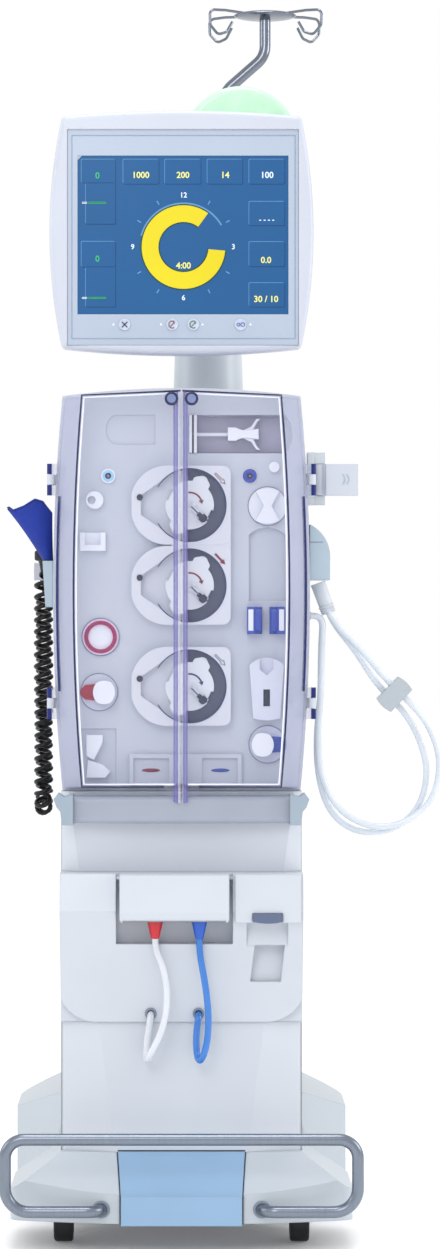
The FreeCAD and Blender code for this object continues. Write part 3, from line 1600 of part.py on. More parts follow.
def make_drip_chamber_holder():
    """The level detector with its slot, and above it the two cheeks that clip round the chamber."""
    face = -S.plate_front
    detector = new_body("level_detector")
    left, right, low, high = S.detector_left, S.detector_right, S.detector_low, S.detector_high
    shape = [(left + 5, low, 3), (right - 5, low), (right, high, S.detector_bow), (left, high)]
    front = face - S.detector_rise
    add(detector, "XZ", front, face, [shape])
    middle = (left + right) / 2
    cut(detector, "XZ", front, front + 10, [box(middle - 4.5, middle + 4.5, low + 16, low + 39)])
    notch = [
        (middle - 9, high + 12), (middle - 9, high - 6), (middle, high - 14),
        (middle + 9, high - 6), (middle + 9, high + 12),
    ]
    cut(detector, "XZ", front, front + 9, [notch])
    pieces = [detector]
    middle = (S.clip_left + S.clip_right) / 2
    half_gap = S.clip_opening / 2
    for side, inner, outer in ((-1, middle - half_gap, S.clip_left), (1, middle + half_gap, S.clip_right)):
        cheek = new_body("left_cheek" if side < 0 else "right_cheek")
        edges = sorted((inner, outer), key=number)
        add(cheek, "XZ", face - S.clip_rise, face, [box(edges[0], edges[1], S.clip_low, S.clip_high)])
        bowl = [(middle, face - S.clip_rise, S.clip_bowl)]
        cut(cheek, "XY", S.clip_low, S.clip_high, circles=bowl)
        pieces.append(cheek)
    return group("drip_chamber_holder", pieces)


# Doors

def door_loop(side, middle, half, low, high, middle_high, bulge, inset):
    """A door's outline seen from the front, from the middle of the machine out to one side."""
    loop = [
        (side * (middle + inset), low + inset), (side * (half - inset), low + inset, side * bulge),
        (side * (half - inset), high - inset), (side * (middle + inset), middle_high - inset),
    ]
    return loop


def door_side(z):
    """How far out a door's rear edge stands at a height."""
    middle = (S.door_back_low + S.door_back_high) / 2
    share = (z - middle) / ((S.door_back_high - S.door_back_low) / 2)
    return S.door_back_half + S.door_back_bulge - S.door_back_bulge * (share * share)


def make_door(label, side):
    """A clear moulded door: a bowed front, slanted walls, a grip bar down its free edge, a button
    at its top, a finger pull at its foot and two hinge barrels on each leaf."""
    body = new_body(label)
    back, front, wall = -S.plate_front - S.door_gap, -S.door_front, S.door_wall
    inner_front = front + wall

    def sections(inset, rear, fore):
        at_rear = door_loop(side, S.door_middle, S.door_back_half, S.door_back_low, S.door_back_high,
                            S.door_back_middle, S.door_back_bulge, inset)
        at_fore = door_loop(side, S.door_middle, S.door_front_half, S.door_front_low, S.door_front_high,
                            S.door_front_middle, S.door_front_bulge, inset)
        return [(rear, at_rear), (fore, at_fore)]

    loft(body, "XZ", sections(0, back, front))
    loft(body, "XZ", sections(wall, back, inner_front), "PartDesign::SubtractiveLoft")
    edge = sorted((side * (S.door_middle - 1), side * (S.door_middle + wall + 0.5)), key=number)
    opening = box(edge[0], edge[1], S.door_back_low - 2, S.door_back_middle + 2)
    cut(body, "XZ", front + S.door_edge_depth, back, [opening])
    bar_x = side * (S.door_middle + S.door_bar_radius + 0.6)
    grip = [(bar_x, -S.door_bar_y, S.door_bar_radius)]
    add(body, "XY", S.door_front_low + 1.5, S.door_front_middle - 12, circles=grip)
    button = [(side * S.door_button_x, S.door_button_z, S.door_button_radius)]
    add(body, "XZ", -S.door_button_front, inner_front - 1, circles=button)
    pull = [
        (side * S.door_middle, S.pull_low), (side * S.door_middle, S.door_front_low + 5),
        (side * S.pull_half, S.door_front_low + 5), (side * S.pull_half, S.door_front_low - 1, side * -6),
    ]
    add(body, "XZ", front - 1, front - 1 + S.pull_thick, [pull])
    for z in (S.hinge_high_z, S.hinge_low_z):
        for way in (-1, 1):
            near = z + way * (S.hinge_knuckle_half + S.hinge_leaf_gap)
            ends = sorted((near, near + way * S.hinge_leaf_height), key=number)
            x, y, r = side * S.hinge_x, -S.hinge_y, S.hinge_radius
            leaf = sorted((side * (door_side(z) - S.door_wall - 1), side * S.hinge_x), key=number)
            add(body, "XY", ends[0], ends[1], [box(leaf[0], leaf[1], y - r + 1, back - 1)])
            add(body, "XY", ends[0], ends[1], circles=[(x, y, r)])
            cut(body, "XY", ends[0], ends[1], circles=[(x, y, S.hinge_pin + S.running_gap)])
    return node(label, body)


# Neck, yoke and monitor

def make_neck():
    cone = document.addObject("Part::Cone", "neck_cone")
    bind(cone, "Radius1", S.neck_low_radius)
    bind(cone, "Radius2", S.neck_high_radius)
    bind(cone, "Height", S.neck_top - S.neck_bottom)
    place(cone, S.neck_x, S.neck_y, S.neck_bottom)
    bore = document.addObject("Part::Cylinder", "neck_bore")
    bind(bore, "Radius", S.spigot_radius + S.running_gap)
    bind(bore, "Height", S.spigot_length + 1)
    place(bore, S.neck_x, S.neck_y, S.neck_top - S.spigot_length)
    neck = document.addObject("Part::Cut", "neck_column")
    neck.Base, neck.Tool = cone, bore
    return node("neck_column", neck)


def make_yoke():
    """The turntable on the neck, and the arm from it that the monitor tilts on."""
    body = new_body("monitor_yoke")
    x, y = S.neck_x, S.neck_y
    low = S.neck_top + S.turntable_gap
    high = low + S.turntable_thick
    add(body, "XY", low, high, circles=[(x, y, S.turntable_radius)])
    add(body, "XY", S.neck_top - S.spigot_length + S.seat_gap, low + 1, circles=[(x, y, S.spigot_radius)])
    r, tilt_y, tilt_z = S.tilt_radius, -S.tilt_y, S.tilt_z
    arm = [
        (S.neck_y + S.yoke_back, high - 1), (S.neck_y + S.yoke_back, S.yoke_top - 12),
        (S.neck_y + S.yoke_back - 12, S.yoke_top), (-S.neck_y, S.yoke_top),
        (tilt_y, tilt_z + r, r * 0.98), (tilt_y, tilt_z - r),
        (-S.neck_y * 3, tilt_z - r - 6), (-S.neck_y * 3, high - 1),
    ]
    add(body, "YZ", x - S.yoke_half, x + S.yoke_half, [arm])
    pin_bore = [(tilt_y, tilt_z, S.tilt_pin + S.running_gap)]
    cut(body, "YZ", x - S.yoke_half, x + S.yoke_half, circles=pin_bore)
    return node("monitor_yoke", body)


def screen_outline(inset):
    low, high = S.screen_low + inset, S.screen_high - inset
    return barrel(S.screen_half - inset, low, high, S.screen_bulge, S.screen_arch, S.screen_sag)


def make_bezel():
    body = new_body("monitor_bezel")
    add(body, "XZ", -S.bezel_front, -S.bezel_back, [screen_outline(0)])
    front = number(S.bezel_front)
    round_edges(body, S.bezel_round, lambda p, t: p.y < 1 - front or abs(t.y) > 0.9)
    gap = S.seat_gap
    left, right = S.face_x - S.face_half - gap, S.face_x + S.face_half + gap
    opening = box(left, right, S.face_low - gap, S.face_high + gap)
    cut(body, "XZ", -S.bezel_front, -S.bezel_back, [opening])
    return node("monitor_bezel", body)


def make_screen_panel():
    """The front plate of the monitor, with the glass set in it and four membrane keys below."""
    body = new_body("screen_panel")
    x, half = S.face_x, S.face_half
    front = S.face_set - S.bezel_front
    add(body, "XZ", front, -S.bezel_back, [box(x - half, x + half, S.face_low, S.face_high)])
    glass = box(x - S.glass_half, x + S.glass_half, S.glass_low, S.glass_high)
    cut(body, "XZ", front, front + S.glass_deep, [glass])
    for key_x in (-S.mute_key_left, -S.dial_key_left, S.start_key_right, S.confirm_key_right):
        add(body, "XZ", front - S.key_rise, front + 1, circles=[(key_x, S.key_z, S.key_radius)])
    return node("screen_panel", body)


def make_monitor_back():
    """The tapered rear housing, with the pad under the lamp and the two lugs of the tilt pin."""
    body = new_body("monitor_back")
    front, back = -S.bezel_back, -S.shell_back
    inset, taper, wall = S.shell_inset, S.shell_inset + S.shell_taper, S.shell_wall
    loft(body, "XZ", [(front, screen_outline(inset)), (back, screen_outline(taper))])
    inner = [(front, screen_outline(inset + wall)), (back - wall, screen_outline(taper + wall))]
    loft(body, "XZ", inner, "PartDesign::SubtractiveLoft")
    pad = box(S.lamp_left, S.lamp_right, S.screen_high - S.shell_inset - S.shell_taper, S.lamp_low)
    add(body, "XZ", front, -S.lamp_back, [pad])
    gap = S.seat_gap
    lamp_seat = box(S.lamp_left - gap, S.lamp_right + gap, S.lamp_low, S.screen_high * 1.1)
    cut(body, "XZ", -S.lamp_front - gap, -S.lamp_back + gap, [lamp_seat])
    x, reach = S.neck_x, S.yoke_half + S.lug_gap
    for side in (-1, 1):
        ends = sorted((x + side * reach, x + side * (reach + S.lug_thick)), key=number)
        r = S.lug_radius
        lug = [
            (back - 1, S.tilt_z + r), (back - 1, S.tilt_z - r),
            (-S.tilt_y, S.tilt_z - r, r * 0.98), (-S.tilt_y, S.tilt_z + r),
        ]
        add(body, "YZ", ends[0], ends[1], [lug])
    add(body, "YZ", x - reach - 1, x + reach + 1, circles=[(-S.tilt_y, S.tilt_z, S.tilt_pin)])
    return node("monitor_back", body)


def make_lamp():
    body = new_body("alarm_lamp")
    dome = [
        (S.lamp_left, S.lamp_low), (S.lamp_right, S.lamp_low), (S.lamp_right, S.lamp_side, S.lamp_arch),
        (S.lamp_left, S.lamp_side),
    ]
    add(body, "XZ", -S.lamp_front, -S.lamp_back, [dome])
    top = number(S.lamp_side)
    round_edges(body, S.lamp_round, lambda p, t: p.z > top + 5 and abs(t.y) < 0.1)
    return node("alarm_lamp", body)


# Infusion pole

def make_pole():
    y = S.pole_y
    points = [
        (S.pole_x, y, S.pole_bottom), (S.pole_x, y, S.pole_bend_low),
        (S.pole_top_x, y, S.pole_bend_high), (S.pole_top_x, y, S.pole_top),
    ]
    path = bent_path(points, [S.pole_bend, S.pole_bend])
    return node("infusion_pole", feature("infusion_pole", tube(path, S.pole_radius)))


def make_pole_guide():
    """The tube that the pole slides in, inside the cabinet, with the clamp collar on top."""
    body = new_body("pole_guide")
    x, y = S.pole_x, S.pole_y
    low, high = S.guide_collar_low, S.guide_collar_low + S.guide_collar_height
    add(body, "XY", S.guide_bottom, low + 1, circles=[(x, y, S.guide_tube_radius)])
    add(body, "XY", low, high, circles=[(x, y, S.guide_collar_radius)])
    knob_z = (low + high) / 2
    add(body, "XZ", y, y + S.guide_knob_reach - 12, circles=[(x, knob_z, S.pole_radius / 2)])
    knob = [(x, knob_z, S.guide_knob_radius)]
    add(body, "XZ", y + S.guide_knob_reach - 12, y + S.guide_knob_reach, circles=knob)
    cut(body, "XY", S.guide_bottom, high, circles=[(x, y, S.pole_radius + S.running_gap)])
    return node("pole_guide", body)


def make_hook_head():
    """The hub at the top of the pole and its four bent wire hooks."""
    hub = document.addObject("Part::Ellipsoid", "hook_hub")
    bind(hub, "Radius1", S.hub_thick)
    bind(hub, "Radius2", S.hub_half)
    bind(hub, "Radius3", S.hub_half * 0.75)
    x, y, z = S.pole_top_x, S.pole_y, S.pole_top + S.hub_thick - 1
    hub.Placement.Base = Vector(number(x), number(y), number(z))
    place(hub, x, y, z)
    recess = document.addObject("Part::Cylinder", "hub_recess")
    bind(recess, "Radius", S.pole_radius)
    bind(recess, "Height", 3)
    place(recess, x, y, S.pole_top - 3)
    seated = document.addObject("Part::Cut", "hook_hub_seated")
    seated.Base, seated.Tool = hub, recess
    centre = Vector(number(x), number(y), number(z))
    wires = []
    out = number(S.hub_half)
    side_view = [
        (out * 0.55, 1), (out * 1.45, 3), (out * 2.02, 2), (out * 2.0, -20),
        (out * 1.72, -33), (out * 1.4, -28), (out * 1.2, -13),
    ]
    angle = number(S.hook_angle)
    for degrees in (angle, -angle, 180 - angle, 180 + angle):
        way = Vector(math.cos(math.radians(degrees)), math.sin(math.radians(degrees)), 0)
        points = [centre + way * reach + Vector(0, 0, rise) for reach, rise in side_view]
        path = bent_path([(p.x, p.y, p.z) for p in points], [9, 8, 8, 8, 8])
        wires.append(tube(path, S.hook_radius))
    hooks = feature("hook_wires", wires[0].multiFuse(wires[1:]))
    head = document.addObject("Part::Fuse", "hook_head")
    head.Base, head.Tool = seated, hooks
    return node("hook_head", head)


# Left side: the blood pressure cuff in its pocket, and its curly hose

def make_cuff_holder():
    body = new_body("cuff_holder")
    wall, outer, taper = S.pocket_wall, -S.pocket_outer, S.pocket_taper
    top, bottom = S.pocket_top, S.pocket_bottom
    inner = -side_wall((top + bottom) / 2) - S.wall_gap - 0.3
    face = [(inner, top), (outer, top), (outer + taper, bottom), (inner, bottom)]
    add(body, "XZ", -S.pocket_front, -S.pocket_back, [face])
    hollow = [
        (inner - wall, top + 1), (outer + wall, top + 1),
        (outer + taper + wall, bottom + wall), (inner - wall, bottom + wall),
    ]
    cut(body, "XZ", wall - S.pocket_front, -S.pocket_back - wall, [hollow])
    return node("cuff_holder", body)


def make_cuff():
    """The rolled cuff: a half tube of padded cloth leaning out of the pocket, with a flat tail
    in the pocket and a port for the hose."""
    roll = new_body("cuff_roll")
    r, wall = S.cuff_radius, S.cuff_wall
    ring = [(-r, 0, r * 0.98), (r, 0), (r - wall, 0, (wall - r) * 0.98), (wall - r, 0)]
    add(roll, "XY", 0, S.cuff_length, [ring])
    lean = (Vector(0, 1, 0), -SIZES["cuff_tilt"])
    middle_y = -(S.pocket_front + S.pocket_back) / 2
    place(roll, -S.cuff_foot_x, middle_y, S.cuff_foot_z, lean)
    tail = new_body("cuff_tail")
    middle_x = -S.pocket_outer + S.pocket_wall + 4
    back = -S.pocket_back - S.pocket_wall - 1
    front = S.pocket_wall + 1 - S.pocket_front
    low = S.pocket_bottom + S.pocket_wall + 14
    add(tail, "XY", low, S.cuff_foot_z + 14, [box(middle_x - 0.5, middle_x + 5.5, front, back)])
    port = box(-S.curl_x - S.curl_radius, middle_x + 4, middle_y, S.curl_radius - S.curl_front_y)
    add(tail, "XY", S.curl_top, S.curl_top + 14, [port])
    cuff = document.addObject("Part::Fuse", "pressure_cuff")
    cuff.Base, cuff.Tool = roll, tail
    return node("pressure_cuff", cuff)


def make_curly_hose():
    """A curled hose hangs a little wavy: two strands, joined by a U of one and a half diameters."""
    front, rear, low = -S.curl_front_y, -S.curl_rear_y, S.curl_bottom
    x, sway, gap = -S.curl_x, S.curl_sway, S.seat_gap
    side = (S.curl_front_y - S.curl_rear_y) * 0.293
    points = [
        (x, front, S.curl_top - gap), (x, front, low + 281), (x - 0.5, front + sway, low + 196),
        (x + 0.5, front - sway, low + 116), (x, front + sway, low + 56), (x, front, low + side),
        (x, front + side, low), (x, rear - side, low),
        (x, rear, low + side), (x, rear - sway, low + 56), (x - 0.5, rear + sway, low + 116),
        (x + 0.5, rear - sway, low + 196), (x, rear, low + 266), (x, rear, S.socket_low - gap),
    ]
    return cord("curly_hose", points, S.curl_radius)


# Right side: the holder arm, the hose holder and the two looped hoses

def make_holder_arm():
    """A clamp block on the side wall, and the arm that swings on its pin."""
    block = new_body("arm_clamp")
    low = S.arm_clamp_low - 30
    inner = side_wall(low) + S.wall_gap
    x, y = S.arm_pivot_x, -S.arm_pivot_y
    outer = S.arm_pivot_x - S.arm_barrel - 1
    add(block, "XY", low, S.arm_clamp_high, [box(inner, outer, y - 14, y + 20)])
    ear = box(outer - 1, x + S.arm_barrel, y - 5, y + 7)
    add(block, "XY", S.arm_high + 0.5, S.arm_clamp_high, [ear])
    add(block, "XY", low, S.arm_low - 0.5, [ear])
    pin = [(x, y, S.arm_pin)]
    add(block, "XY", S.arm_low - 1, S.arm_high + 1, circles=pin)
    node("arm_clamp", block)
    arm = new_body("holder_arm")
    low, high, half, wall = S.arm_low, S.arm_high, S.arm_half, S.arm_wall
    add(arm, "XY", low, high, circles=[(x, y, S.arm_barrel)])
    start = x + S.arm_barrel + 1
    add(arm, "XY", low, high, [box(start, S.arm_end, y - half, y + half)])
    add(arm, "XY", low, high, [box(x, start + 1, y - 5, y + 5)])
    cut(arm, "XY", low + wall, high, [box(start + wall, S.arm_end - wall, y - half + wall, y + half - wall)])
    cut(arm, "XY", low, high, circles=[(x, y, S.arm_pin + S.running_gap)])
    return node("holder_arm", arm)


def make_hose_holder():
    """A rounded shell on the side wall, with the plug of both hoses in its underside."""
    body = new_body("hose_holder_shell")
    low, high, outer = S.holder_low, S.holder_high, S.holder_outer
    inner = side_wall(low) + S.wall_gap + 0.3
    face = [(inner, low), (outer, low), (outer, low + 26, S.holder_bow), (inner, high)]
    add(body, "XZ", -S.holder_front, -S.holder_back, [face])
    wide, narrow, length = number(S.plug_top), number(S.plug_bottom), number(S.plug_length)
    plug = Part.makeCone(wide, narrow, length, plug_top(), plug_way())
    return group("hose_holder", [body, feature("hose_plug", plug)])


def plug_way():
    lean = math.radians(SIZES["plug_lean"])
    return Vector(math.sin(lean), 0, -math.cos(lean))


def plug_top():
    """Where the plug's axis meets the holder: its rim then just clears the holder's underside."""
    rise = number(S.plug_top) * math.sin(math.radians(SIZES["plug_lean"]))
    middle_y = -number(S.loop_front_y + S.loop_rear_y) / 2
    return Vector(number(S.plug_x), middle_y, number(S.holder_low) - rise - number(S.seat_gap))


def plug_end():
    return plug_top() + plug_way() * number(S.plug_length)


def make_loop_hoses():
    """Two soft hoses that leave the plug, pass the clip and loop back up into the side wall."""
    start, way = plug_end(), plug_way()
    clip_x, clip_z = number(S.hose_clip_x), number(S.hose_clip_z)
    turn = math.radians(SIZES["hose_clip_turn"])
    along = Vector(math.cos(turn), 0, -math.sin(turn))
    across = Vector(math.sin(turn), 0, math.cos(turn))
    front_loop = [
        (341, 699), (357, 655), (350, 602), (317, 568), (268, 556), (220, 577),
        (193, 622), (187, 680), (191.5, 738), (193, 790), (194, 820), (195, 841),
    ]
    rear_loop = [
        (328, 683), (341, 636), (329, 584), (292, 553), (241, 550), (204, 578),
        (188, 628), (186, 684), (192, 740), (192.5, 790), (193.5, 820), (195, 841),
    ]
    routes = {
        "loop_hose_front": (S.loop_front_y, 1, front_loop),
        "loop_hose_rear": (S.loop_rear_y, -1, rear_loop),
    }
    for label, (y, side, loop) in routes.items():
        y = -number(y)
        centre = Vector(clip_x, y, clip_z) + across * (side * number(S.loop_hose_apart) / 2)
        reach = number(S.hose_clip_along) + 14
        enter, leave = centre - along * reach, centre + along * reach
        first = Vector(start.x, y, start.z)
        second = first + way * 24
        between = (second + enter) / 2 + across * 4
        points = [tuple(first), tuple(second), tuple(between), tuple(enter), tuple(leave)]
        points += [(x, y, z) for x, z in loop]
        points += [(S.loop_end_x + 10, y, S.loop_end_z), (S.loop_end_x, y, S.loop_end_z)]
        cord(label, points, S.hose_radius)


def make_hose_clip():
    """A block clipped over both hoses where they leave the plug."""
    body = new_body("hose_clip")
    half, along = S.hose_clip_half, S.hose_clip_along
    face = [(-along, -half + 5, 2), (along, -half + 5), (along, half - 5, 2), (-along, half - 5)]
    add(body, "XZ", -S.hose_clip_front, -S.hose_clip_back, [face])
    for y, side in ((S.loop_front_y, 1), (S.loop_rear_y, -1)):
        bore = [(-y, side * S.loop_hose_apart / 2, S.hose_radius + S.seat_gap)]
        cut(body, "YZ", -along - 3, along + 3, circles=bore)
    place(body, S.hose_clip_x, 0, S.hose_clip_z, (Vector(0, 1, 0), SIZES["hose_clip_turn"]))
    return node("hose_clip", body)


# Rear panel and the unit inside

def make_rear_panel():
    """The back cover with its vents, the mains inlet and the two water connections."""
    body = new_body("rear_panel")
    inset, rear = S.rear_panel_inset, S.cabinet_rear
    half = S.cabinet_half - inset
    low, high = S.rear_foot_top + inset, S.cabinet_top - inset
    add(body, "XZ", rear, rear + S.cabinet_wall, [box(-half, half, low, high)])
    z = low + 35
    mains = box(S.mains_x - S.mains_half, S.mains_x + S.mains_half, z, z + S.mains_height)
    add(body, "XZ", rear, rear + S.mains_deep + S.cabinet_wall, [mains])
    socket = box(S.mains_x - S.mains_half + 6, S.mains_x + S.mains_half - 6, z + 6, z + S.mains_height - 6)
    cut(body, "XZ", rear + S.cabinet_wall, rear + S.mains_deep + S.cabinet_wall, [socket])
    for x in (S.inlet_x, S.drain_x):
        boss = [(x, low + S.nipple_rise, S.nipple_radius * 1.6)]
        add(body, "XZ", rear, rear + S.cabinet_wall * 2, circles=boss)
        nipple = [(x, low + S.nipple_rise, S.nipple_radius)]
        add(body, "XZ", rear, rear + S.cabinet_wall * 2 + S.nipple_length, circles=nipple)
    vents = []
    for i in range(int(SIZES["vent_count"])):
        z = S.vent_low + i * S.vent_pitch
        vents.append(box(-S.vent_half, S.vent_half, z, z + S.vent_height))
    cut(body, "XZ", rear, rear + S.cabinet_wall, vents)
    return node("rear_panel", body)


def make_hydraulics_unit():
    """The inner module that balances and heats the fluid: a block with two chambers on top."""
    body = new_body("hydraulics_unit")
    low = chassis_top + S.cabinet_wall
    high = low + S.unit_height
    add(body, "XY", low, high, [box(-S.unit_half, S.unit_half, -S.unit_front, S.unit_back)])
    for side in (-1, 1):
        tank = [(side * S.unit_half / 2, 0, S.tank_radius)]
        add(body, "XY", high, high + S.tank_height, circles=tank)
    return node("hydraulics_unit", body)


def make_all():
    make_castors()
    make_chassis()
    make_base_cover()
    make_brake_pedal()
    make_guard_bar()
    make_lower_cabinet()
    make_front_panels()
    make_connector_shelf()
    make_port_button()
    make_connector_flap()
    make_couplings()
    make_dialysate_hoses()
    make_grab_rail()
    make_upper_cabinet()
    make_front_plate()
    make_pump_housings()
    make_pump_motors()
    make_pump_rotors()
    make_syringe_slider()
    make_line_sensors()
    make_clamp_seats()
    make_clamp_plungers()
    make_line_guides()
    make_drip_chamber_holder()
    make_door("left_door", -1)
    make_door("right_door", 1)
    make_neck()
    make_yoke()
    make_bezel()
    make_screen_panel()
    make_monitor_back()
    make_lamp()
    make_pole()
    make_pole_guide()
    make_hook_head()
    make_cuff_holder()
    make_cuff()
    make_curly_hose()
    make_holder_arm()
    make_hose_holder()
    make_loop_hoses()
    make_hose_clip()
    make_rear_panel()
    make_hydraulics_unit()


make_all()
document.recompute()

faults = [f"{o.Label} {o.getStatusString()}" for o in document.Objects if {"Invalid", "Error"} & set(o.State)]
for thing in nodes:
    if thing.Shape.isNull() or not thing.Shape.isValid() or not thing.Shape.Solids:
        faults.append(f"{thing.Label} shape")
if faults:
    raise SystemExit(f"failed objects: {faults}")

os.makedirs("parts", exist_ok=True)
for thing in nodes:
    thing.Shape.exportStep(f"parts/{thing.Label}.step")
print(len(nodes), "nodes written")
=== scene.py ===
import math

import bmesh
import bpy
from mathutils import Matrix, Vector


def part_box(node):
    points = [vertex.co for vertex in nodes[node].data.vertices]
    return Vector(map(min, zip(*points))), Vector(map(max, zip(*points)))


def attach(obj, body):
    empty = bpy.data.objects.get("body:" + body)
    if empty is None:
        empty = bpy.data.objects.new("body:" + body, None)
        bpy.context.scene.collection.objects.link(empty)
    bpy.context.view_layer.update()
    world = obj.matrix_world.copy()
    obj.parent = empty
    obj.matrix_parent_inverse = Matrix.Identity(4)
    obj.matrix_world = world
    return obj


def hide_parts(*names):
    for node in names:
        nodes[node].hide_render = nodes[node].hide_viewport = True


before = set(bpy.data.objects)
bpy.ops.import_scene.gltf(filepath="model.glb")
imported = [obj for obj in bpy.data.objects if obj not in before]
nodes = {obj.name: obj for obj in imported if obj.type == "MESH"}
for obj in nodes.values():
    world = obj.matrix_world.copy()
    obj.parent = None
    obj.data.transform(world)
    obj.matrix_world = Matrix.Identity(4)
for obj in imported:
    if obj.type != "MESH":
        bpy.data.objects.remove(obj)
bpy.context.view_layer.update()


# The camera stands five metres in front of the machine, level, at a height
# between the middle and the lowest pump. Its shift keeps the machine left of the
# middle, where the photograph has it.
def add_object(name, data):
    """A new object of the scene that shows the data."""
    thing = bpy.data.objects.new(name, data)
    bpy.context.collection.objects.link(thing)
    return thing


PICTURE_HEIGHT_PX = 1249
FOCAL_LENGTH_PX = 3529
MACHINE_COLUMN_PX = 181.5
PICTURE_MIDDLE_PX = 220
CAMERA_PLACE = (0, -5, 0.838)
camera_data = bpy.data.cameras.new("front_camera")
camera_data.sensor_width = 36
camera_data.lens = camera_data.sensor_width * FOCAL_LENGTH_PX / PICTURE_HEIGHT_PX
camera_data.shift_x = (PICTURE_MIDDLE_PX - MACHINE_COLUMN_PX) / PICTURE_HEIGHT_PX
camera = add_object("front_camera", camera_data)
camera.location = CAMERA_PLACE
camera.rotation_euler = (math.radians(90), 0, 0)
bpy.context.scene.camera = camera


# The studio is a white floor under a white sky, with one large soft lamp in
# front, one on each side to whiten the cabinet's flanks, and one above.
finishes = {}


def start_finish(name, roughness):
    """A new procedural finish, kept under its name. Returns its shader."""
    finish = bpy.data.materials.new(name)
    finish.use_nodes = True
    finishes[name] = finish
    shader = finish.node_tree.nodes["Principled BSDF"]
    feed(shader, Roughness=roughness)
    return shader


def supply(entry, value):
    """Sets an input to a value, or links it where the value is another node's output."""
    if isinstance(value, bpy.types.NodeSocket):
        entry.id_data.links.new(value, entry)
    else:
        entry.default_value = value


def feed(node, **inputs):
    """Supplies a node's inputs by name, with an underscore for each space."""
    for name, value in inputs.items():
        supply(node.inputs[name.replace("_", " ")], value)


def add_node(shader, kind, settings=None, **inputs):
    """A node beside the shader, with its own settings made before its inputs."""
    node = shader.id_data.nodes.new("ShaderNode" + kind)
    for name, value in (settings or {}).items():
        setattr(node, name, value)
    feed(node, **inputs)
    return node


def here(shader):
    """The place on the piece, in the object's coordinates."""
    return add_node(shader, "TexCoord").outputs["Object"]


for name, place, aim, size, watts in (
    ("front_lamp", (-0.9, -3.6, 2.6), (0, 0, 0.8), 1.8, 30),
    ("left_lamp", (-3.2, -0.4, 1.8), (0, 0, 0.8), 1.6, 16),
    ("right_lamp", (3.2, -0.6, 1.8), (0, 0, 0.8), 1.6, 28),
    ("top_lamp", (0, -0.6, 4.2), (0, 0, 1.0), 1.6, 44),
):
    lamp_data = bpy.data.lights.new(name, "AREA")
    lamp_data.shape = "DISK"
    lamp_data.size = size
    lamp_data.energy = watts
    lamp = add_object(name, lamp_data)
    lamp.location = place
    lamp.rotation_euler = (Vector(aim) - Vector(place)).to_track_quat("-Z", "Y").to_euler()
bpy.context.scene.view_settings.view_transform = "Standard"
sky = bpy.data.worlds.new("white_sky")
sky.use_nodes = True
feed(sky.node_tree.nodes["Background"], Color=(1, 1, 1, 1), Strength=1.0)
bpy.context.scene.world = sky

FLOOR_SIZE = 60
FLOOR_DROP = 0.0005
bpy.ops.object.select_all(action="DESELECT")
bpy.ops.mesh.primitive_plane_add(size=FLOOR_SIZE, location=(0, 0, -FLOOR_DROP))
floor = bpy.context.object
floor.name = "studio_floor"
bpy.ops.object.transform_apply(location=True, rotation=True, scale=True)
floor_shader = start_finish("pale_floor", 0.9)
floor_noise = add_node(floor_shader, "TexNoise", Vector=here(floor_shader), Scale=1.5)
floor_ramp = add_node(floor_shader, "ValToRGB", Fac=floor_noise.outputs["Fac"])
for stop, grey in zip(floor_ramp.color_ramp.elements, (0.94, 0.97)):
    stop.color = (grey, grey, grey, 1)
feed(floor_shader, Base_Color=floor_ramp.outputs["Color"])
feed(floor_shader, Emission_Color=(1, 1, 1, 1), Emission_Strength=0.08)
floor.data.materials.append(finishes["pale_floor"])


# The dialysate hoses are two soft tubes, white and blue, pushed on the
# couplings. Each hangs in a loop below the shelf and goes back into the shelf's
# lower edge through a round hole.
HOSE_RADIUS = 0.0045
WHITE_HOSE_ROUTE = [
    (-0.0354, -0.256, 0.4157), (-0.0354, -0.256, 0.402), (-0.026, -0.258, 0.382),
    (-0.019, -0.2585, 0.352), (-0.020, -0.2575, 0.318), (-0.027, -0.258, 0.290),
    (-0.036, -0.2585, 0.271), (-0.0425, -0.2575, 0.2595), (-0.0455, -0.252, 0.2525),
    (-0.047, -0.2425, 0.2525), (-0.0475, -0.2365, 0.260), (-0.0465, -0.2365, 0.276),
    (-0.0445, -0.238, 0.291), (-0.042, -0.238, 0.3055), (-0.0416, -0.2315, 0.312),
    (-0.0416, -0.2183, 0.312),
]
BLUE_HOSE_ROUTE = [
    (0.024, -0.256, 0.4157), (0.024, -0.256, 0.400), (0.028, -0.258, 0.376),
    (0.0335, -0.2585, 0.345), (0.0365, -0.2575, 0.312), (0.0355, -0.258, 0.284),
    (0.0325, -0.2585, 0.268), (0.029, -0.2575, 0.2575), (0.0255, -0.2515, 0.2505),
    (0.0225, -0.2425, 0.2515), (0.0205, -0.2365, 0.2595), (0.0198, -0.2365, 0.276),
    (0.0205, -0.238, 0.291), (0.0227, -0.238, 0.3055), (0.023, -0.2315, 0.312),
    (0.023, -0.2183, 0.312),
]


def lay_line(name, route, radius, steps=12, roundness=5, kind="NURBS"):
    """A round line whose middle is one smooth spline over its route."""
    curve = bpy.data.curves.new(name, "CURVE")
    curve.dimensions = "3D"
    curve.resolution_u = steps
    curve.bevel_depth = radius
    curve.bevel_resolution = roundness
    curve.use_fill_caps = True
    spline = curve.splines.new(kind)
    spline.points.add(len(route) - 1)
    for point, place in zip(spline.points, route):
        point.co = (*place, 1)
    if kind == "NURBS":
        spline.order_u = 3
        spline.use_endpoint_u = True
    return add_object(name, curve)


def middle_line(hose):
    """Points along the hose's own spline, read from its curve without the bevel."""
    bare = hose.copy()
    bare.data = hose.data.copy()
    bare.data.bevel_depth = 0
    mesh = bpy.data.meshes.new_from_object(bare)
    points = [vertex.co.copy() for vertex in mesh.vertices]
    bpy.data.meshes.remove(mesh)
    bpy.data.curves.remove(bare.data)
    return points


